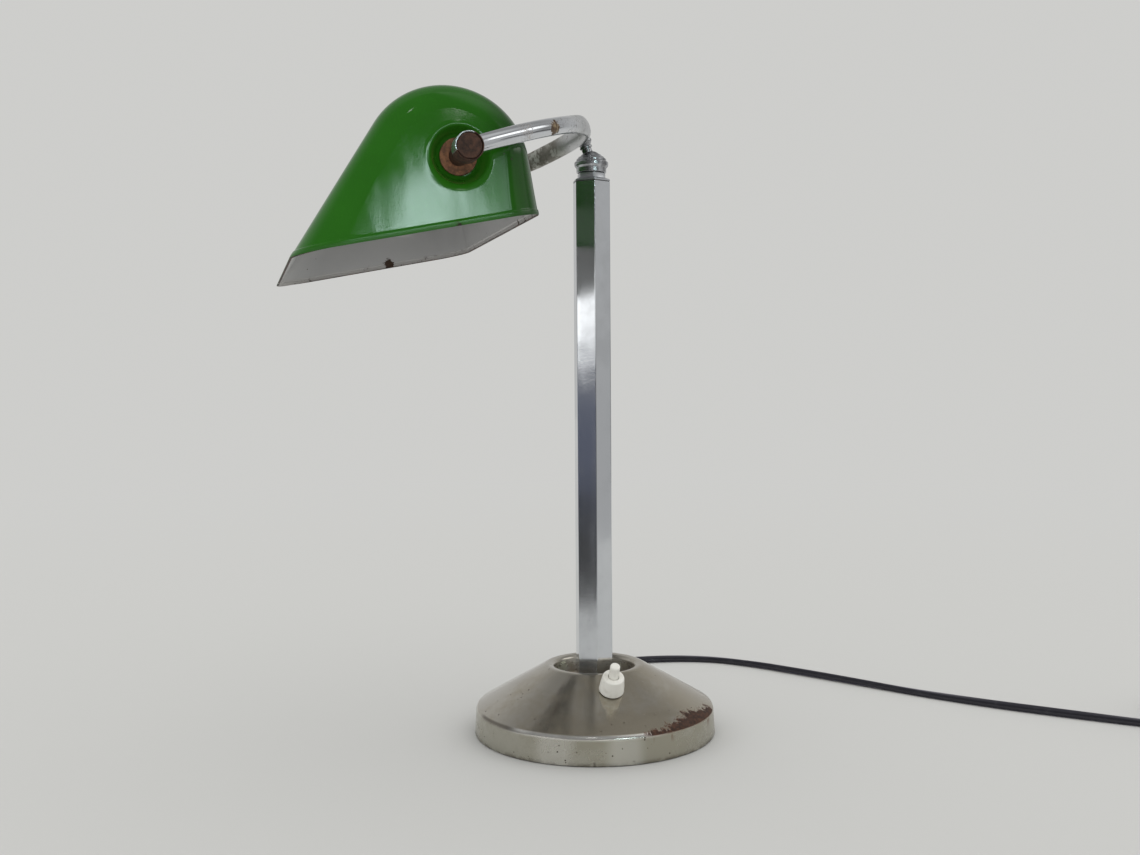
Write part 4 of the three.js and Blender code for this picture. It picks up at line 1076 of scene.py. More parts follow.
def joint_cap(bow, material):
    """The stepped cap that holds the ball: skirt, bead, tiers and mouth."""
    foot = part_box("joint_cap")[0].z
    ball, socket = joint_anchor("swivel").z, bow.ball + GAP
    thread, mouth, seat = mm(8.6, 6.3, 0.6)
    rim = ball + sqrt(socket ** 2 - mouth ** 2) + GAP
    tiers = [(9.8, 0), (9.8, 3.0), (10.2, 3.3), (11.1, 4.5), (11.1, 6.9), (10.2, 7.4), (9.8, 7.8),
             (9.75, 8.9), (8.7, 9.7), (8.5, 10.3), (7.6, 10.6)]
    outline = [(radius * MM, foot + height * MM) for radius, height in tiers]
    grip = [radians(degrees) for degrees in (39, 30, 20, 10, 4)]
    inner = [(socket * cos(turn), ball + socket * sin(turn)) for turn in grip]
    points = [(thread, foot), *outline, (mouth, rim), *inner, (thread, ball - seat)]
    radii = mm(0.2, 0.35, 0.3, 0.3, 1.0, 1.0, 0.3, 0.2, 0.6, 0.5, 0.3, 0.4, 0.15)
    radii += mm(0.5) * len(inner) + mm(0.2)
    line = bent(points, radii, chord=0.2 * MM)
    turned_piece("joint_stepped_cap", line, material, "joint_cap")


def ball_stud(bow, material):
    """The ball, its stem and the flared saddle under the bow."""
    stem = 3.3 * MM
    neck = acos(stem / bow.ball) - radians(3)
    ball = arc_line(bow.ball, -pi / 2, neck, 26)
    steps = [(3.3, 7.5), (3.3, 9.6), (4.1, 10.1), (4.1, 11.2), (3.5, 11.6), (5.2, 14.0), (5.2, 15.6),
             (0, 15.6)]
    shaft = bent([mm(*step) for step in steps], mm(0, 0.3, 0.35, 0.35, 0.4, 1.2, 0.6, 0), closed=False,
                 chord=0.2 * MM)
    turned_piece("joint_ball_and_stem", ball + shaft, material, "ball_stud", sides=72,
                 closed=False, place=head_place(bow))


def half_span(bow, shade):
    """Half the distance between the middles of the two barrels."""
    return shade_end(shade, 0.0) + bow.stand_off + bow.barrel_length / 2


def bow_arm(bow, span, share):
    """A point on the right half of the bow's centre line and its direction, in the ball's frame."""
    start = Vector((span, -bow.reach, bow.rise))
    lead = start + Vector((-cos(bow.arm_angle), sin(bow.arm_angle), 0)) * (bow.arm_share * bow.reach)
    pull = Vector((bow.apex_share * span, -bow.apex_forward, bow.rise))
    apex = Vector((0, -bow.apex_forward, bow.rise))
    rest = 1 - share
    point = start * rest ** 3 + lead * 3 * rest ** 2 * share
    point = point + pull * 3 * rest * share ** 2 + apex * share ** 3
    along = (lead - start) * rest ** 2 + (pull - lead) * 2 * rest * share + (apex - pull) * share ** 2
    return point, along.normalized()


def bow_tube(bow, shade, material):
    """The bow: round at its arms and pressed to an oval at the apex, let into the barrels."""
    span = half_span(bow, shade)
    half, sides = 90, 40
    hidden = 0.036  # share of an arm that lies inside its barrel
    oval_from, oval_to = mm(52, 98)
    right = [bow_arm(bow, span, lerp(hidden, 1.0, k / half)) for k in range(half + 1)]
    left = [(Vector((-p.x, p.y, p.z)), Vector((d.x, -d.y, 0))) for p, d in reversed(right[:-1])]
    rings = []
    for point, along in right + left:
        oval = 1 - smooth(abs(point.x), oval_from, oval_to)
        tall = lerp(bow.tube, bow.oval_height, oval)
        thick = lerp(bow.tube, bow.oval_thickness, oval)
        across = Vector((-along.y, along.x, 0)).normalized()
        rings.append(tube_ring(point, across * thick, Vector((0, 0, tall)), sides))
    verts, faces = skin(rings, closed_ends=True)
    faces = [list(reversed(face)) for face in faces]
    piece = make("bow_bent_tube", verts, faces, [material], place=head_place(bow), body=body_with("bow_tube"),
                 replaces=["bow_tube"])
    piece.data.set_sharp_from_angle(angle=radians(50))


def trunnion(bow, shade, side, name, finishes):
    """Barrel, cover, washer and pivot tube at one end of the bow."""
    place = trunnion_place(bow, side)
    fine = 0.2 * MM
    bore, lip, plate, inboard, engagement = mm(5, 0.25, 1.4, 7.4, 7)
    cover_radius, cover_height, dome, plate_radius = mm(6.8, 1.6, 0.1, 10.3)
    tube, neck, hollow = mm(4.7, 5.4, 3.2)
    near = shade_end(shade, 0.0) + bow.stand_off
    far = near + bow.barrel_length
    seat, out = far - lip - cover_height - GAP, far - lip
    floor = shade_end(shade, 0.0) - shade.recess_depth
    plate_out = floor + GAP + plate
    inner_end = floor - shade.wall - GAP - plate - inboard

    barrel = bent([
        (bore, near), (bow.barrel, near), (bow.barrel, far), (cover_radius + GAP, far),
        (cover_radius + GAP, seat), (bore, seat),
    ], mm(0.15, 0.7, 0.5, 0.15, 0.1, 0.1), chord=fine)
    turned_piece(f"barrel_sleeve_{name}", barrel, finishes["chrome"], f"barrel_{name}", sides=72,
                 place=place)
    cover = bent([(0, out - cover_height), (cover_radius, out - cover_height), (cover_radius, out),
                  (0, out + dome)], mm(0, 0.1, 0.5, 0), closed=False, chord=fine)
    turned_piece(f"barrel_cover_{name}", cover, finishes["rusty"], f"barrel_plug_{name}",
                 sides=72, closed=False, place=place)
    washer = bent([(bore, floor + GAP), (plate_radius, floor + GAP), (plate_radius, plate_out),
                   (bore, plate_out)], mm(0.1, 0.3, 0.4, 0.1), chord=fine)
    turned_piece(f"pivot_plate_{name}", washer, finishes["orange"], f"pivot_washer_{name}",
                 sides=72, place=place)
    pivot = bent([
        (hollow, inner_end), (tube, inner_end), (tube, plate_out + GAP), (neck, plate_out + GAP),
        (neck, near - GAP), (tube, near - GAP), (tube, near + engagement), (hollow, near + engagement),
    ], mm(0.1, 0.3, 0.1, 0.4, 0.4, 0.1, 0.2, 0.1), chord=fine)
    turned_piece(f"pivot_stub_{name}", pivot, finishes["rusty"], f"pivot_tube_{name}",
                 sides=64, place=place)


# ------------------------------------------------------------------ shade

def shade_end(shade, height):
    """Half width of the shade at a height over the trunnion axis."""
    return shade.half_width - (height + shade.mouth) * tan(shade.draft)


class ShadeOutline:
    """The shade's outline from its front edge, up the slope, over the crown and down the back."""

    def __init__(self, shade):
        self.shade = shade
        self.crown = Vector((-shade.crown_forward, -shade.crown_drop))
        self.crown_radius = shade.back + shade.crown_forward
        self.edge = Vector((-shade.front, -shade.mouth))
        out = self.edge - self.crown
        self.touch = (atan2(out.y, out.x) - acos(self.crown_radius / out.length)) % (2 * pi)
        self.slope = Vector((sin(self.touch), -cos(self.touch)))
        self.slope_length = sqrt(out.length ** 2 - self.crown_radius ** 2)
        self.crown_length = self.crown_radius * self.touch
        self.back_length = shade.mouth + self.crown.y
        self.length = self.slope_length + self.crown_length + self.back_length

    def at(self, travel):
        """The point and the angle of its outward normal."""
        if travel <= self.slope_length:
            return self.edge + self.slope * travel, self.touch
        if travel <= self.slope_length + self.crown_length:
            turn = self.touch - (travel - self.slope_length) / self.crown_radius
            return self.crown + Vector((cos(turn), sin(turn))) * self.crown_radius, turn
        drop = travel - self.slope_length - self.crown_length
        return Vector((self.shade.back, self.crown.y - drop)), 0.0

    def radius(self, height):
        """Rounding between the wall and the ends: wider towards the mouth."""
        shade = self.shade
        return lerp(shade.edge, shade.corner, smooth(-height, -10 * MM, shade.mouth))

    def point(self, start, turn, side, lift=0.0, flat=None):
        """A point on the skin. turn goes from 0 on the wall to a right angle on the end; flat is a share
        of the straight width instead. Rows near the mouth stay level all round it."""
        level = 1 - smooth(start, self.slope_length * 0.2, self.slope_length)
        travel = start
        rounds = 8  # enough for the point to settle
        for _ in range(rounds):
            where, tilt = self.at(travel)
            inset = self.radius(where.y) * (1 - cos(turn))
            if start > self.slope_length:
                break
            travel = start + level * sin(tilt) * inset / self.slope.y
        radius = self.radius(where.y)
        y = where.x - cos(tilt) * inset
        z = where.y - sin(tilt) * inset
        if flat is None:
            x = side * (shade_end(self.shade, z) - radius + radius * sin(turn))
        else:
            x = flat * (shade_end(self.shade, z) - radius)
        out = Vector((side * sin(turn), cos(turn) * cos(tilt), cos(turn) * sin(tilt)))
        return Vector((x, y, z)) + out * lift


def hem_lift(shade, height):
    """How far the band round the mouth stands out at a height over the mouth."""
    roll, roll_from, roll_to, below, above = mm(0.35, -0.1, 0.7, 0.35, 0.45)
    rolled = (1 - smooth(height, roll_from, roll_to)) * roll
    return shade.hem_step * (1 - smooth(height, shade.hem - below, shade.hem + above)) - rolled


class Grid:
    """Collects patches of quads whose shared borders are merged afterwards."""

    def __init__(self):
        self.verts = []
        self.faces = []

    def patch(self, rows, flip=False):
        """Adds a grid of quads; flip turns its outside round."""
        first = len(self.verts)
        width = len(rows[0])
        self.verts += [tuple(p) for row in rows for p in row]
        for j in range(len(rows) - 1):
            for i in range(width - 1):
                a = first + j * width + i
                face = [a, a + 1, a + width + 1, a + width]
                self.faces.append(face[::-1] if flip else face)


def shade_ends(grid, shade, border_rows, front, back):
    """Closes the shade at both ends: a flat drawn in to the rim of a dish, and the dish to its hole."""
    across = 18
    shares = (0.03, 0.1, 0.22, 0.36, 0.5, 0.64, 0.78, 0.9, 1.0)
    rim, hole = shade.recess + 2.6 * MM, 5.0 * MM
    face = shade_end(shade, 0.0)
    dish = bent([(hole, face - shade.recess_depth), (shade.recess_floor, face - shade.recess_depth),
                 (shade.recess, face), (rim, face)], mm(0, 2.4, 2.0, 0), closed=False)
    for side, column in ((1, 0), (-1, -1)):
        hem_rows = [[row_front[column].lerp(row_back[column], k / across) for k in range(across + 1)]
                    for row_front, row_back in zip(front, back)]
        grid.patch(hem_rows, flip=side < 0)
        border = [row[column] for row in border_rows] + hem_rows[-1][across - 1::-1]
        turns = [atan2(point.z, point.y) for point in border]
        rows = [border]
        for share in shares:
            row = []
            for point, turn in zip(border, turns):
                y, z = lerp(point.y, rim * cos(turn), share), lerp(point.z, rim * sin(turn), share)
                row.append(Vector((side * shade_end(shade, z), y, z)))
            rows.append(row)
        for (radius, depth), _ in reversed(dish[:-1]):
            eased = smooth(radius, shade.recess_floor, rim)
            row = []
            for turn in turns:
                y, z = radius * cos(turn), radius * sin(turn)
                row.append(Vector((side * (depth + (shade_end(shade, z) - face) * eased), y, z)))
            rows.append(row)
        grid.patch(rows, flip=side > 0)


def shade_skin(shade):
    """The outside of the shade: wall, rounded edges, hem and the two ends."""
    outline = ShadeOutline(shade)
    heights = mm(0, 0.2, 0.5, 1.0, 1.7, 2.3, 2.7, 2.9, 3.1, 3.3, 3.5, 3.9, 4.6)
    edge_steps, slope_rows, crown_rows, back_rows = 16, 16, 36, 8
    turns = [pi / 2 * k / edge_steps for k in range(edge_steps + 1)]
    flats = (0.985, 0.85, 0.6, 0.3, 0.0, -0.3, -0.6, -0.85, -0.985)
    columns = [(turn, 1, None) for turn in reversed(turns)] + [(0.0, 1, flat) for flat in flats]
    columns += [(turn, -1, None) for turn in turns]

    hem_top, slope, crown = heights[-1], outline.slope_length, outline.crown_length
    starts = [lerp(hem_top / outline.slope.y, slope, k / slope_rows) for k in range(slope_rows)]
    starts += [slope + crown * k / crown_rows for k in range(crown_rows + 1)]
    starts += [lerp(outline.length - outline.back_length, outline.length - hem_top, k / back_rows)
               for k in range(1, back_rows + 1)]

    def row_at(start, lift=0.0):
        """One row across the shade, from end to end."""
        return [outline.point(start, turn, side, lift=lift, flat=flat) for turn, side, flat in columns]

    grid = Grid()
    skin_rows = [row_at(start) for start in starts]
    grid.patch(skin_rows, flip=True)
    front = [row_at(height / outline.slope.y, hem_lift(shade, height)) for height in heights]
    back = [row_at(outline.length - height, hem_lift(shade, height)) for height in heights]
    front[-1], back[-1] = skin_rows[0], skin_rows[-1]
    grid.patch(front, flip=True)
    grid.patch(back)
    shade_ends(grid, shade, skin_rows, front, back)
    return grid


def shade_shell(shade, finishes):
    """The enamelled shade: one pressed skin, green outside, white inside, with a dark cut edge."""
    grid = shade_skin(shade)
    piece = make("shade_enamelled", grid.verts, grid.faces, finishes, place=shade_place(shade),
                 body=body_with("shade"), replaces=["shade"])
    weld = piece.modifiers.new("weld", "WELD")
    weld.merge_threshold = 0.01 * MM
    wall = piece.modifiers.new("wall", "SOLIDIFY")
    wall.thickness = shade.wall
    wall.offset = -1.0
    wall.use_even_offset = True
    wall.material_offset = 1
    wall.material_offset_rim = 2


# ------------------------------------------------------------------ lamp holder and bulb

def lamp_holder(place, material):
    """The porcelain holder, clamped on the near pivot tube."""
    low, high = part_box("lamp_holder")
    back, mouth = high.x, low.x
    stem, neck, body, lip, cavity, passage = mm(5.0, 11, 18, 17.3, 15.2, 3.2)
    neck_length, thickness, shoulder, lip_height, thread = mm(7, 6.5, 7, 6.4, 4.8)
    neck_end = back - neck_length
    floor = neck_end - thickness
    line = bent([
        (stem, back), (neck, back), (neck, neck_end), (body, neck_end), (body, mouth + shoulder),
        (lip, mouth + lip_height), (lip, mouth), (cavity, mouth), (cavity, floor), (passage, floor),
        (passage, back - thread), (stem, back - thread),
    ], mm(0.2, 1.0, 1.5, 6.0, 0.3, 0.3, 0.8, 0.4, 0.5, 0.5, 0.2, 0.2))
    turned_piece("lamp_holder_shell", line, material, "lamp_holder", place=place)


def bulb_cap(place, material):
    """The screw cap of the bulb, with its rolled thread."""
    low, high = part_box("bulb_cap")
    foot, top = low.x, high.x
    pitch, depth, root, wall, tip, shoulder = mm(5, 0.8, 12.7, 0.5, 3.1, 7)
    drop, inside_drop = mm(4, 4.5)
    threads = []
    height = top - pitch
    while height > foot + pitch:
        threads += [(root, height), (root + depth, height - pitch / 2)]
        height -= pitch
    points = [(tip, top), (shoulder, top), (root, top - drop), *threads, (root + depth, foot),
              (root - wall, foot), (root - wall, top - inside_drop), (tip, top - 1 * MM)]
    radii = mm(0.2, 1.5, 0.8) + mm(1.4) * len(threads) + mm(0.3, 0.2, 0.4, 0.2)
    line = bent(points, radii, chord=0.35 * MM)
    turned_piece("bulb_screw_cap", line, material, "bulb_cap", place=place)


def bulb_glass(place, material):
    """The frosted glass: a tube with a round end and a neck in the cap."""
    tip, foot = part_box("bulb_glass")[0].x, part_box("bulb_cap")[0].x
    neck, wide, wall, shoulder, into_cap = mm(11.9, 15, 0.9, 7, 6)
    outer = bent([(0, tip), (wide, tip), (wide, foot - shoulder), (neck, foot - GAP),
                  (neck, foot + into_cap)], mm(0, 14.6, 9, 2, 0), closed=False)
    inner = [(point - normal * wall, -normal) for point, normal in reversed(outer)]
    inner[-1] = (Vector((0, tip + wall)), inner[-1][1])
    turned_piece("bulb_frosted", outer + inner, material, "bulb_glass", closed=False,
                 place=place)


# ------------------------------------------------------------------ cord, grommet and plug

# The flex's middle from the grommet to the coil, in millimetres
CORD_ROUTE = [
    (-103.6, 0, 8.6), (-112, 0.4, 7.4), (-122, 2.6, 5), (-133, 7.6, 3.3), (-144, 16, 3), (-154, 29, 3),
    (-161.5, 46, 3), (-165.5, 66, 3), (-166.5, 87, 3), (-165, 106, 3), (-160, 128, 3), (-149, 150, 3),
    (-127, 172, 3), (-95, 195, 3), (-52, 224, 3), (-2, 258, 3), (36, 288, 3), (67, 317, 3), (98, 349, 3),
    (122.75, 376.2, 3),
]


def through(points, steps=8):
    """A smooth line through points, with its knots spaced by the root of their distance."""
    ends = [points[0] * 2 - points[1], *points, points[-1] * 2 - points[-2]]
    line = []
    for four in zip(ends, ends[1:], ends[2:], ends[3:]):
        knots = [0.0]
        for first, second in zip(four, four[1:]):
            knots.append(knots[-1] + (second - first).length ** 0.5)
        for k in range(steps):
            now = lerp(knots[1], knots[2], k / steps)
            level = list(four)
            for spans in (((0, 1), (1, 2), (2, 3)), ((0, 2), (1, 3)), ((1, 2),)):
                shares = [(now - knots[low]) / (knots[high] - knots[low]) for low, high in spans]
                level = [lerp(*pair, share) for pair, share in zip(zip(level, level[1:]), shares)]
            line.append(level[0])
    line.append(points[-1])
    return line


def ease_between(start, start_along, end, end_along, steps):
    """A smooth line between two points with given directions; their length sets how far it bulges."""
    line = []
    for k in range(steps + 1):
        t = k / steps
        line.append(start * (2 * t ** 3 - 3 * t ** 2 + 1) + start_along * (t ** 3 - 2 * t ** 2 + t)
                    + end * (3 * t ** 2 - 2 * t ** 3) + end_along * (t ** 3 - t ** 2))
    return line


def cord_path(flex):
    """The flex from the grommet along the desk, round the coil twice, back over it and into the plug."""
    low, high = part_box("cord_coil")
    middle = Vector(((low.x + high.x) / 2, (low.y + high.y) / 2, 0))
    lifted, outside, over_turns, over_end = mm(0.05, 41.2, 0.25, 1.2)
    first = radians(-43.4)
    on_desk = flex.thickness / 2 + lifted
    route = [Vector(point) * MM for point in CORD_ROUTE]
    for point in route[3:]:
        point.z = on_desk
    entry = middle + Vector((cos(first) * outside, sin(first) * outside, on_desk))
    line = through(route + [entry], steps=12)[:-1]

    turns, lower = flex.turns, flex.lower_turns
    steps = ceil(turns * 72)
    for k in range(steps + 1):
        turn = turns * k / steps
        if turn < lower:
            radius = lerp(outside, flex.coil_inside, smooth(turn, 0, lower) * 0.2 + turn / lower * 0.8)
        else:
            radius = lerp(flex.coil_inside, flex.coil_top, (turn - lower) / (turns - lower))
        rise = smooth(turn, lower - 0.05, lower + 0.35) * (flex.thickness + over_turns)
        rise += smooth(turn, turns - 0.12, turns + 0.1) * over_end
        around = first + 2 * pi * turn
        line.append(middle + Vector((radius * cos(around), radius * sin(around), on_desk + rise)))

    tail = cord_tail(flex)
    slack = 1.15
    span = (tail[0] - line[-1]).length * slack
    along = (line[-1] - line[-2]).normalized() * span
    line += ease_between(line[-1], along, tail[0], (tail[1] - tail[0]).normalized() * span, 20)[1:-1]
    return line + tail


def cord_tail(flex):
    """The last bend, which drops into the plug's nose."""
    low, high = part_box("plug_body")
    gap, start_height = mm(0.6, 15.4)
    centre = Vector((low.x - gap, (low.y + high.y) / 2 + flex.tail, 0))
    steps = 24
    tail = []
    for k in range(steps + 1):
        around = lerp(radians(120), radians(270), k / steps)
        lift = lerp(start_height, (low.z + high.z) / 2, smooth(k / steps, 0, 1))
        tail.append(centre + Vector((flex.tail * cos(around), flex.tail * sin(around), lift)))
    return tail


def flex_section(flex, sides=20):
    """Two round cores side by side under one skin, with a shallow valley between them."""
    valley, valley_width = 0.16, 1.4 * MM
    core = flex.thickness / 2
    apart = flex.width / 2 - core
    ring = []
    for k in range(sides):
        turn = 2 * pi * (k + 0.5) / sides
        x = core * cos(turn) + (apart if cos(turn) > 0 else -apart)
        y = core * sin(turn) * (1 - valley * max(0.0, 1 - abs(x) / valley_width))
        ring.append((x, y))
    return ring


def mains_cord(flex, material):
    """The twin flex along its path, twisting a little on its way to the coil."""
    path = cord_path(flex)
    section = flex_section(flex)
    most_twist, twisting, clear = radians(30), 17.0, 0.1 * MM
    travelled, rings = 0.0, []
    for i, point in enumerate(path):
        along = (path[min(i + 1, len(path) - 1)] - path[max(i - 1, 0)]).normalized()
        if i:
            travelled += (point - path[i - 1]).length
        free = smooth(travelled, 0.02, 0.1) * smooth(travelled, 0.56, 0.44)
        twist = most_twist * sin(travelled * twisting) * free
        side = Vector((0, 0, 1)).cross(along).normalized()
        over = along.cross(side)
        wide = side * cos(twist) + over * sin(twist)
        tall = over * cos(twist) - side * sin(twist)
        lowest = min((wide * x + tall * y).z for x, y in section)
        path[i] = Vector((point.x, point.y, max(point.z, clear - lowest)))
        rings.append([path[i] + wide * x + tall * y for x, y in section])
    verts, faces = skin(rings, closed_ends=True)
    piece = make("mains_flex", verts, faces, [material], body=body_with("cord_run"),
                 replaces=["cord_run", "cord_coil", "cord_tail"])
    piece.data.set_sharp_from_angle(angle=radians(60))
    flex.length
    flex.width


def cord_grommet(flex, material):
    """A ribbed strain relief, snapped into the hole in the base's rim."""
    low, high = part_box("cord_grommet")
    inner, tip = -high.x, -low.x
    hole, sleeve_end, flange_radius, groove, bead = mm(5.0, 4.0, 6.4, 0.45, 0.9)
    sleeve, flange_width, inside, first_rib = mm(22, 1.8, 1.4, 1.6)
    bore = flex.width / 2 + GAP
    wall_out = tip - sleeve - flange_width
    wall_in = inner + inside
    flange = wall_out + flange_width
    points = [(bore, inner), (hole + bead, inner), (hole + bead, wall_in), (hole, wall_in), (hole, wall_out),
              (flange_radius, wall_out), (flange_radius, flange), (hole, flange)]
    radii = mm(0.2, 0.4, 0.1, 0.1, 0.1, 0.5, 0.8, 0.6)
    ribs = 7
    width = (tip - flange - first_rib) / ribs
    for k in range(ribs):
        start = lerp(flange + first_rib, tip, k / ribs)
        radius = lerp(hole, sleeve_end, k / ribs)
        points += [(radius, start), (radius - 0.05 * MM, start + width * 0.62),
                   (radius - groove, start + width * 0.66), (radius - groove, start + width * 0.98)]
        radii += mm(0.25, 0.25, 0.1, 0.1)
    points[-1] = (points[-1][0], tip)
    points.append((bore, tip))
    radii += mm(0.3)
    place = Matrix.Translation((0, 0, (low.z + high.z) / 2)) @ Matrix.Rotation(-pi / 2, 4, "Y")
    turned_piece("cord_strain_relief", bent(points, radii, chord=0.25 * MM), material, "cord_grommet",
                 sides=64, place=place)


def plug_pin(name, material):
    """A turned pin with a tapered tip."""
    low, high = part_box(name)
    radius, reach = (high.y - low.y) / 2, high.x - low.x
    taper, end = mm(2, 1.4)
    line = bent([(0, 0), (radius, 0), (radius, reach - taper), (end, reach), (0, reach)],
                mm(0, 0.1, 0.8, 0.9, 0), closed=False, chord=0.2 * MM)
    seat = Matrix.Translation((low.x, (low.y + high.y) / 2, (low.z + high.z) / 2))
    return turned_piece(name + "_turned", line, material, name, sides=48, closed=False,
                        place=seat @ Matrix.Rotation(pi / 2, 4, "Y"))


def mains_plug(material, steel):
    """A flat two-pin plug: a moulded body with rounded edges and two tapered pins."""
    low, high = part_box("plug_body")
    end, half, thick = high.x - low.x, (high.y - low.y) / 2, high.z - low.z
    nose, flare, edge = mm(7.5, 9, 3.0)
    outline = bent([(0, nose), (0, -nose), (flare, -nose), (end - flare, -half), (end, -half),
                    (end, half), (end - flare, half), (flare, nose)],
                   mm(2.5, 2.5, 10, 8, 1.8, 1.8, 8, 10), chord=0.5 * MM)
    steps = 8
    lower = [((k - steps) / steps * pi / 2, edge) for k in range(steps + 1)]
    upper = [(k / steps * pi / 2, thick - edge) for k in range(steps + 1)]
    rings = []
    for turn, middle in lower + upper:
        inset, height = edge * (1 - cos(turn)), middle + edge * sin(turn)
        rings.append([(*(point - normal * inset), height) for point, normal in outline])
    verts, faces = skin(rings, closed_ends=True)
    place = Matrix.Translation((low.x, (low.y + high.y) / 2, low.z))
    body = make("plug_moulding", verts, faces, [material], place=place, body=body_with("plug_body"),
                replaces=["plug_body"])
    body.data.set_sharp_from_angle(angle=radians(40))
    return [body, plug_pin("plug_pin_1", steel), plug_pin("plug_pin_2", steel)]


# ------------------------------------------------------------------ stage

def camera_for(view):
    """The camera, from its place, heading, pitch and roll."""
    data = bpy.data.cameras.new("lamp_camera")
    data.lens = view.lens
    data.sensor_width = 36.0
    data.clip_start = 0.01
    camera = bpy.data.objects.new("lamp_camera", data)
    bpy.context.scene.collection.objects.link(camera)
    bpy.context.scene.camera = camera
    level = cos(view.pitch)
    ahead = Vector((level * cos(view.heading), level * sin(view.heading), sin(view.pitch)))
    right = ahead.cross(Vector((0, 0, 1))).normalized()
    over = right.cross(ahead)
    tilt, rest = sin(view.roll), cos(view.roll)
    turn = Matrix((right * rest + over * tilt, over * rest - right * tilt, -ahead)).transposed().to_4x4()
    camera.matrix_world = Matrix.Translation((view.across, -view.forward, view.height)) @ turn


# Fields of the room that mirrors see, as directions in degrees: left, right, low, high and softness
DOORWAY = (-84, 4, 0.9, 5.1, 0.5)
DOORWAY_MIDDLE = (-74, -46, 0.9, 5.1, 0.5)
DOORWAY_END = (-12, 4, 1.6, 5.1, 1.5)
SLIT_LAMP = (9.6, 10.1, 19, 24, 0.3)
HIGH_LAMP = (-22.5, -18, 48, 52, 0.8)
PALE_WALL = (38, 90, -40, 40, 6)
LIT_WALL = (54, 96, 21, 36, 3)
DARK_SKIRTING = (68, 112, -5, 2, 1)
WINDOW_GLASS, WINDOW_STRENGTH = (0.78, 1.0, 1.0), 19.0
ROOM_TINT, TABLE_TINT = (1.0, 1.0, 0.985), (0.84, 0.92, 1.22)


def window_light(sky, turn, lift):
    """How bright the window on the right is: a slanted pane behind folds of cloth."""
    folds = sky.add("ShaderNodeCombineXYZ", X=turn * 0.85 + lift * 0.4, Y=lift * 0.22 - turn * 0.1).Vector
    cloth = sky.add("ShaderNodeTexNoise", Vector=folds, Scale=1.0, Detail=3.0, Roughness=0.6,
                    Distortion=0.5).Fac
    pleats = sky.add("ShaderNodeCombineXYZ", X=turn * 2.9 + lift * 0.9, Y=lift * 0.35, Z=7.0).Vector
    streaks = sky.add("ShaderNodeTexNoise", Vector=pleats, Scale=1.0, Detail=2.0, Roughness=0.6).Fac
    middle, lean = 13.6, 0.69
    slanted = turn - (lift - middle) * lean + (cloth - 0.5) * 1.6 + (streaks - 0.5) * 0.6
    left_edge, right_edge, sill, head = (5.05, 5.17), (24.0, 21.0), (11.0, 12.4), (17.5, 16.6)
    pane = slanted.step(*left_edge) * turn.step(*right_edge) * lift.step(*sill) * lift.step(*head)
    shaded = turn.step(8.6, 10.8) * (0.35 + lift.step(12.8, 15.0) * 0.4)
    pleated = (streaks.step(0.40, 0.58) - 0.35) * turn.step(9.8, 6.5) * 1.15
    drape = 0.36 + cloth.step(0.40, 0.62) * 0.5 + pleated
    return pane * drape.most(0.08) * (1.0 - lift.step(14.6, 17.0) * 0.5) * (1.0 - shaded)


def studio_world(colours):
    """An even soft dome lights the lamp. The camera sees a pale backdrop, and mirrors see it as a room with
    a window on the right, a lit doorway on the left and shade between them."""
    world = bpy.data.worlds.new("studio")
    world.use_nodes = True
    bpy.context.scene.world = world
    sky = Nodes(world.node_tree)
    x, y, z = sky.axes("Generated")
    lift = z.maths("ARCSINE", z) * (180 / pi)
    turn = y.maths("ARCTAN2", y, x) * (180 / pi)

    def field(left, right, low, high, soft):
        """1 in a field of directions, with a soft border."""
        across = turn.step(left - soft, left + soft) * turn.step(right + soft, right - soft)
        edge = soft * 0.6
        return across * lift.step(low - edge, low + edge) * lift.step(high + edge, high - edge)

    strip = field(*DOORWAY) * 0.8 + field(*DOORWAY_MIDDLE) * 0.7 + field(*DOORWAY_END) * 2.0
    lamps = field(*SLIT_LAMP) + field(*HIGH_LAMP)
    walls = field(*PALE_WALL) * 0.34 + field(*LIT_WALL) * 1.3
    ceiling = lift.step(34.0, 60.0) * turn.step(10.0, 45.0) * 0.45
    ahead = 0.15 + strip + lamps * 6.0 + walls + ceiling
    left = turn.step(-15.0, -30.0)
    table = 0.46 - turn.step(46.0, 30.0) * lift.step(-14.0, -5.0) * 0.34
    below = left * (0.135 - lift.near(-7.6, 1.6, 1.6) * 0.07) + (1.0 - left) * table
    under = lift.step(0.4, -0.4)
    behind = abs(turn).step(80.0, 128.0)
    rear = 0.55 - lift.step(22.0, 55.0) * 0.24
    room = behind * rear + (1.0 - behind) * (ahead * (1.0 - under) + below * under)
    room = room * (1.0 - field(*DARK_SKIRTING) * 0.75)

    def lit_by(tint, strength):
        """A colour at a strength that may pass 1."""
        return sky.add("ShaderNodeVectorMath", {"operation": "SCALE"}, Vector=tint, Scale=strength).Vector

    cool = under * left * lift.step(-8.0, -5.0)
    tint = sky.blend(cool * (1.0 - behind), ROOM_TINT, TABLE_TINT)
    glass = lit_by(WINDOW_GLASS, window_light(sky, turn, lift) * WINDOW_STRENGTH)
    shown = sky.add("ShaderNodeVectorMath", {"operation": "ADD"}, Vector=lit_by(tint, room),
                    Vector_001=glass).Vector
    dome = 0.97 + lift.step(-20.0, 80.0) * 0.16
    even = sky.add("ShaderNodeCombineXYZ", X=dome, Y=dome, Z=dome).Vector
    path = sky.add("ShaderNodeLightPath")
    lit = sky.blend(path.Is_Glossy_Ray.most(path.Is_Transmission_Ray), even, shown)
    backdrop = tuple(colours.backdrop)
    sky.feed(world.node_tree.nodes["Background"], Color=sky.blend(path.Is_Camera_Ray, lit, backdrop))


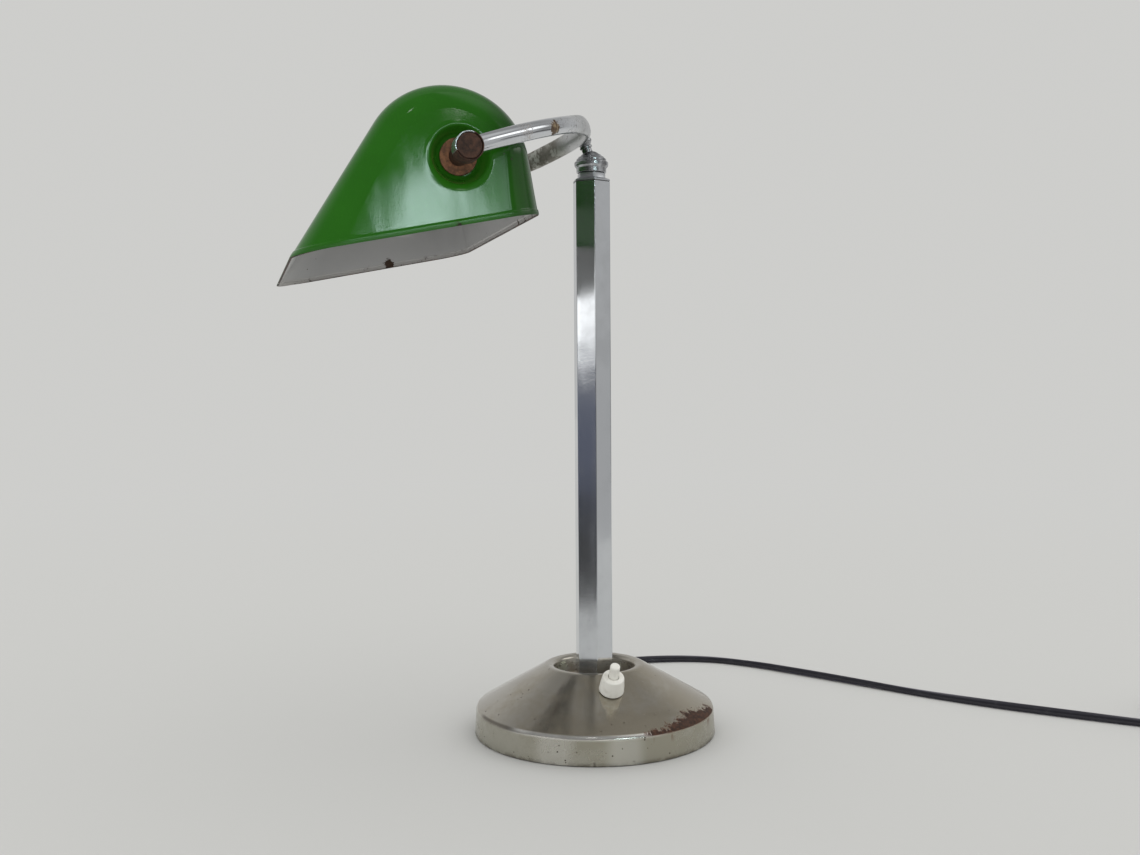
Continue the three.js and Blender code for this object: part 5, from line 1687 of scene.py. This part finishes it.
def floor_finish(colours):
    """Plain pale floor with a barely visible tooth; far away it fades into the backdrop for the camera,
    for mirrors and through glass."""
    f = Finish("pale_floor", Roughness=0.85, Specular_IOR_Level=0.2)
    tooth = f.noise(900.0, 3.0, 0.6)
    paper = tuple(colours.paper)
    f.surface(Base_Color=f.blend(tooth.step(0.3, 0.7) * 0.3, paper, toned(paper, 0.97)))
    f.bump(tooth, 0.05, 0.1 * MM)
    path = f.add("ShaderNodeLightPath")
    seen = path.Is_Camera_Ray.most(path.Is_Glossy_Ray).most(path.Is_Transmission_Ray)
    fade_from, fade_to = 0.35, 1.9
    far = f.away((0.0, 0.0, 0.0)).step(fade_from, fade_to) * seen
    backdrop = f.add("ShaderNodeEmission", Color=tuple(colours.backdrop), Strength=1.0).Emission
    shown = f.add("ShaderNodeMixShader", Fac=far, Shader=Added(f, f.shader).BSDF, Shader_001=backdrop).Shader
    f.feed(f.tree.nodes["Material Output"], Surface=shown)
    return f.material


# Corners of the floor, in metres
FLOOR_CORNERS = [(0.45, -0.33), (0.234, -0.382), (-0.4, -0.52), (-6.0, -1.9), (-6.0, 5.0), (0.45, 1.9)]


def studio_floor(material):
    """A pale table top that ends close in front of the lamp and runs far out behind it."""
    thickness = 20 * MM
    verts = [(x, y, height) for height in (0, -thickness) for x, y in FLOOR_CORNERS]
    count = len(FLOOR_CORNERS)
    faces = [list(reversed(range(count))), list(range(count, 2 * count))]
    faces += [[i, (i + 1) % count, count + (i + 1) % count, count + i] for i in range(count)]
    floor = make("studio_floor", verts, faces, [material])
    for polygon in floor.data.polygons:
        polygon.use_smooth = False


# ------------------------------------------------------------------ operators

def sizes_ready(context):
    """The scene, once every group of sizes is registered on it."""
    missing = [name for name in SIZE_GROUPS if not hasattr(context.scene, name)]
    if missing:
        raise RuntimeError("the lamp's sizes aren't registered: " + ", ".join(missing))
    return context.scene


class LAMP_OT_camera(bpy.types.Operator):
    """Place the camera that the lamp is seen from"""
    bl_idname = "lamp.camera"
    bl_label = "Camera"
    bl_options = {"REGISTER", "UNDO"}

    def execute(self, context):
        scene = sizes_ready(context)
        camera_for(scene.lamp_camera)
        return {"FINISHED"}


class LAMP_OT_cord(bpy.types.Operator):
    """Lay the mains cord with its strain relief and plug"""
    bl_idname = "lamp.cord"
    bl_label = "Cord and plug"
    bl_options = {"REGISTER", "UNDO"}

    def execute(self, context):
        scene = sizes_ready(context)
        flex, colours = scene.lamp_cord, scene.lamp_colours
        black = cord_finish(colours)
        rubber = plastic_finish("rubber_black", RUBBER, rough=0.42, dirt=RUBBER_DIRT)
        moulding = plastic_finish("plug_black", PLUG_BLACK, rough=0.28, dirt=PLUG_DIRT)
        pins = metal_finish("plug_nickel", PLUG_NICKEL, rough=0.22, amount=0.25)
        plug = mains_plug(moulding, pins)
        cord_grommet(flex, rubber)
        mains_cord(flex, black)
        return {"FINISHED"}


class LAMP_OT_base(bpy.types.Operator):
    """Build the plated base"""
    bl_idname = "lamp.base"
    bl_label = "Base"
    bl_options = {"REGISTER", "UNDO"}

    def execute(self, context):
        scene = sizes_ready(context)
        base_shell(scene.lamp_base, nickel_finish(scene.lamp_base, scene.lamp_colours))
        return {"FINISHED"}


class LAMP_OT_base_parts(bpy.types.Operator):
    """Dress the ballast, cover, felt, screws and nut inside the base"""
    bl_idname = "lamp.base_parts"
    bl_label = "Base internals"
    bl_options = {"REGISTER", "UNDO"}

    def execute(self, context):
        sizes_ready(context)
        dress(iron_finish(), "base_ballast")
        dress(metal_finish("cover_steel", COVER_STEEL, rough=0.4), "base_cover")
        dress(felt_finish(), "base_felt")
        dress(metal_finish("screw_steel", SCREW_STEEL, rough=0.3, scale=300.0), "cover_screw_1",
              "cover_screw_2", "cover_screw_3", "foot_washer", "foot_nut", "column_foot", "tie_tube")
        return {"FINISHED"}


class LAMP_OT_switch(bpy.types.Operator):
    """Build the push switch on the cone"""
    bl_idname = "lamp.switch"
    bl_label = "Switch"
    bl_options = {"REGISTER", "UNDO"}

    def execute(self, context):
        scene = sizes_ready(context)
        switch = scene.lamp_switch
        place = switch_place(scene.lamp_base, switch)
        ivory = plastic_finish("switch_ivory", tuple(scene.lamp_colours.ivory), rough=0.34, amount=0.35,
                               coat=0.15)
        switch_collar(place, switch, ivory)
        switch_plunger(place, switch, ivory)
        dress(plastic_finish("switch_bakelite", BAKELITE, rough=0.35), "switch_body")
        steel = metal_finish("spring_steel", SPRING_STEEL, rough=0.3)
        switch_coil(place, steel)
        dress(steel, "pressure_spring")
        return {"FINISHED"}


class LAMP_OT_column(bpy.types.Operator):
    """Build the hexagonal column with its collar"""
    bl_idname = "lamp.column"
    bl_label = "Column"
    bl_options = {"REGISTER", "UNDO"}

    def execute(self, context):
        scene = sizes_ready(context)
        column_tube(scene.lamp_column, column_finish(scene.lamp_colours))
        column_head(scene.lamp_column, collar_finish(scene.lamp_colours))
        return {"FINISHED"}


class LAMP_OT_joint(bpy.types.Operator):
    """Build the ball joint: stepped cap, ball and stem"""
    bl_idname = "lamp.joint"
    bl_label = "Ball joint"
    bl_options = {"REGISTER", "UNDO"}

    def execute(self, context):
        scene = sizes_ready(context)
        bow, chrome = scene.lamp_bow, joint_finish(scene.lamp_colours)
        joint_cap(bow, chrome)
        ball_stud(bow, chrome)
        dress(plastic_finish("cup_fibre", FIBRE, rough=0.6, coat=0.0), "friction_cup")
        return {"FINISHED"}


class LAMP_OT_bow(bpy.types.Operator):
    """Build the bow with its barrels, pivots and washers"""
    bl_idname = "lamp.bow"
    bl_label = "Bow and trunnions"
    bl_options = {"REGISTER", "UNDO"}

    def execute(self, context):
        scene = sizes_ready(context)
        bow, shade, colours = scene.lamp_bow, scene.lamp_shade, scene.lamp_colours
        rust = tuple(colours.rust)
        bow_tube(bow, shade, bow_finish(head_place(bow), colours))
        finishes = {
            "chrome": barrel_finish(colours), "rusty": rust_finish("barrel_rust", toned(rust, 0.5)),
            "orange": rust_finish("washer_rust", WASHER_ORANGE),
        }
        trunnion(bow, shade, 1, "right", finishes)
        trunnion(bow, shade, -1, "left", finishes)
        dress(rust_finish("inner_rust", toned(rust, 1.2)), "inner_washer_right", "inner_washer_left",
              "pivot_nut_left")
        return {"FINISHED"}


class LAMP_OT_shade(bpy.types.Operator):
    """Build the enamelled shade"""
    bl_idname = "lamp.shade"
    bl_label = "Shade"
    bl_options = {"REGISTER", "UNDO"}

    def execute(self, context):
        scene = sizes_ready(context)
        shade, colours = scene.lamp_shade, scene.lamp_colours
        place = shade_place(shade)
        shade_shell(shade, [enamel_finish(place, shade, colours), lining_finish(place, shade, colours),
                            edge_finish(colours)])
        return {"FINISHED"}


class LAMP_OT_bulb(bpy.types.Operator):
    """Build the lamp holder and the bulb in it"""
    bl_idname = "lamp.bulb"
    bl_label = "Holder and bulb"
    bl_options = {"REGISTER", "UNDO"}

    def execute(self, context):
        scene = sizes_ready(context)
        brass = metal_finish("cap_brass", BRASS, rough=0.28, tarnish=BRASS_TARNISH)
        place = trunnion_place(scene.lamp_bow, 1)
        lamp_holder(place, porcelain_finish())
        bulb_cap(place, brass)
        bulb_glass(place, bulb_finish(place))
        dress(brass, "holder_sleeve", "holder_contact", "bulb_contact")
        return {"FINISHED"}


class LAMP_OT_stage(bpy.types.Operator):
    """Lay the floor and set the studio light"""
    bl_idname = "lamp.stage"
    bl_label = "Stage"
    bl_options = {"REGISTER", "UNDO"}

    def execute(self, context):
        scene = sizes_ready(context)
        studio_floor(floor_finish(scene.lamp_colours))
        studio_world(scene.lamp_colours)
        return {"FINISHED"}


OPERATORS = [
    LAMP_OT_camera, LAMP_OT_cord, LAMP_OT_base, LAMP_OT_base_parts, LAMP_OT_switch, LAMP_OT_column,
    LAMP_OT_joint, LAMP_OT_bow, LAMP_OT_shade, LAMP_OT_bulb, LAMP_OT_stage,
]


class LAMP_PT_panel(bpy.types.Panel):
    """Lists the lamp's operators and sizes"""
    bl_label = "Desk Lamp"
    bl_idname = "LAMP_PT_panel"
    bl_space_type = "VIEW_3D"
    bl_region_type = "UI"
    bl_category = "Desk Lamp"

    def draw(self, context):
        for operator in OPERATORS:
            self.layout.operator(operator.bl_idname)
        for name, group in SIZE_GROUPS.items():
            box = self.layout.box()
            box.label(text=name.replace("_", " ").capitalize())
            for key in group.__annotations__:
                box.prop(getattr(context.scene, name), key)


def register():
    """Registers the groups of sizes, the operators and the panel."""
    for kind in (*SIZE_GROUPS.values(), *OPERATORS, LAMP_PT_panel):
        bpy.utils.register_class(kind)
    for name, group in SIZE_GROUPS.items():
        setattr(bpy.types.Scene, name, PointerProperty(type=group))


def unregister():
    """Takes away what register put in place."""
    for name in SIZE_GROUPS:
        delattr(bpy.types.Scene, name)
    for kind in reversed((*SIZE_GROUPS.values(), *OPERATORS, LAMP_PT_panel)):
        bpy.utils.unregister_class(kind)


def main():
    """Registers the classes, runs the operators in order and sets the view transform."""
    register()
    for operator in OPERATORS:
        family, name = operator.bl_idname.split(".")
        getattr(getattr(bpy.ops, family), name)()
    bpy.context.scene.view_settings.view_transform = "Standard"


if __name__ == "__main__":
    main()
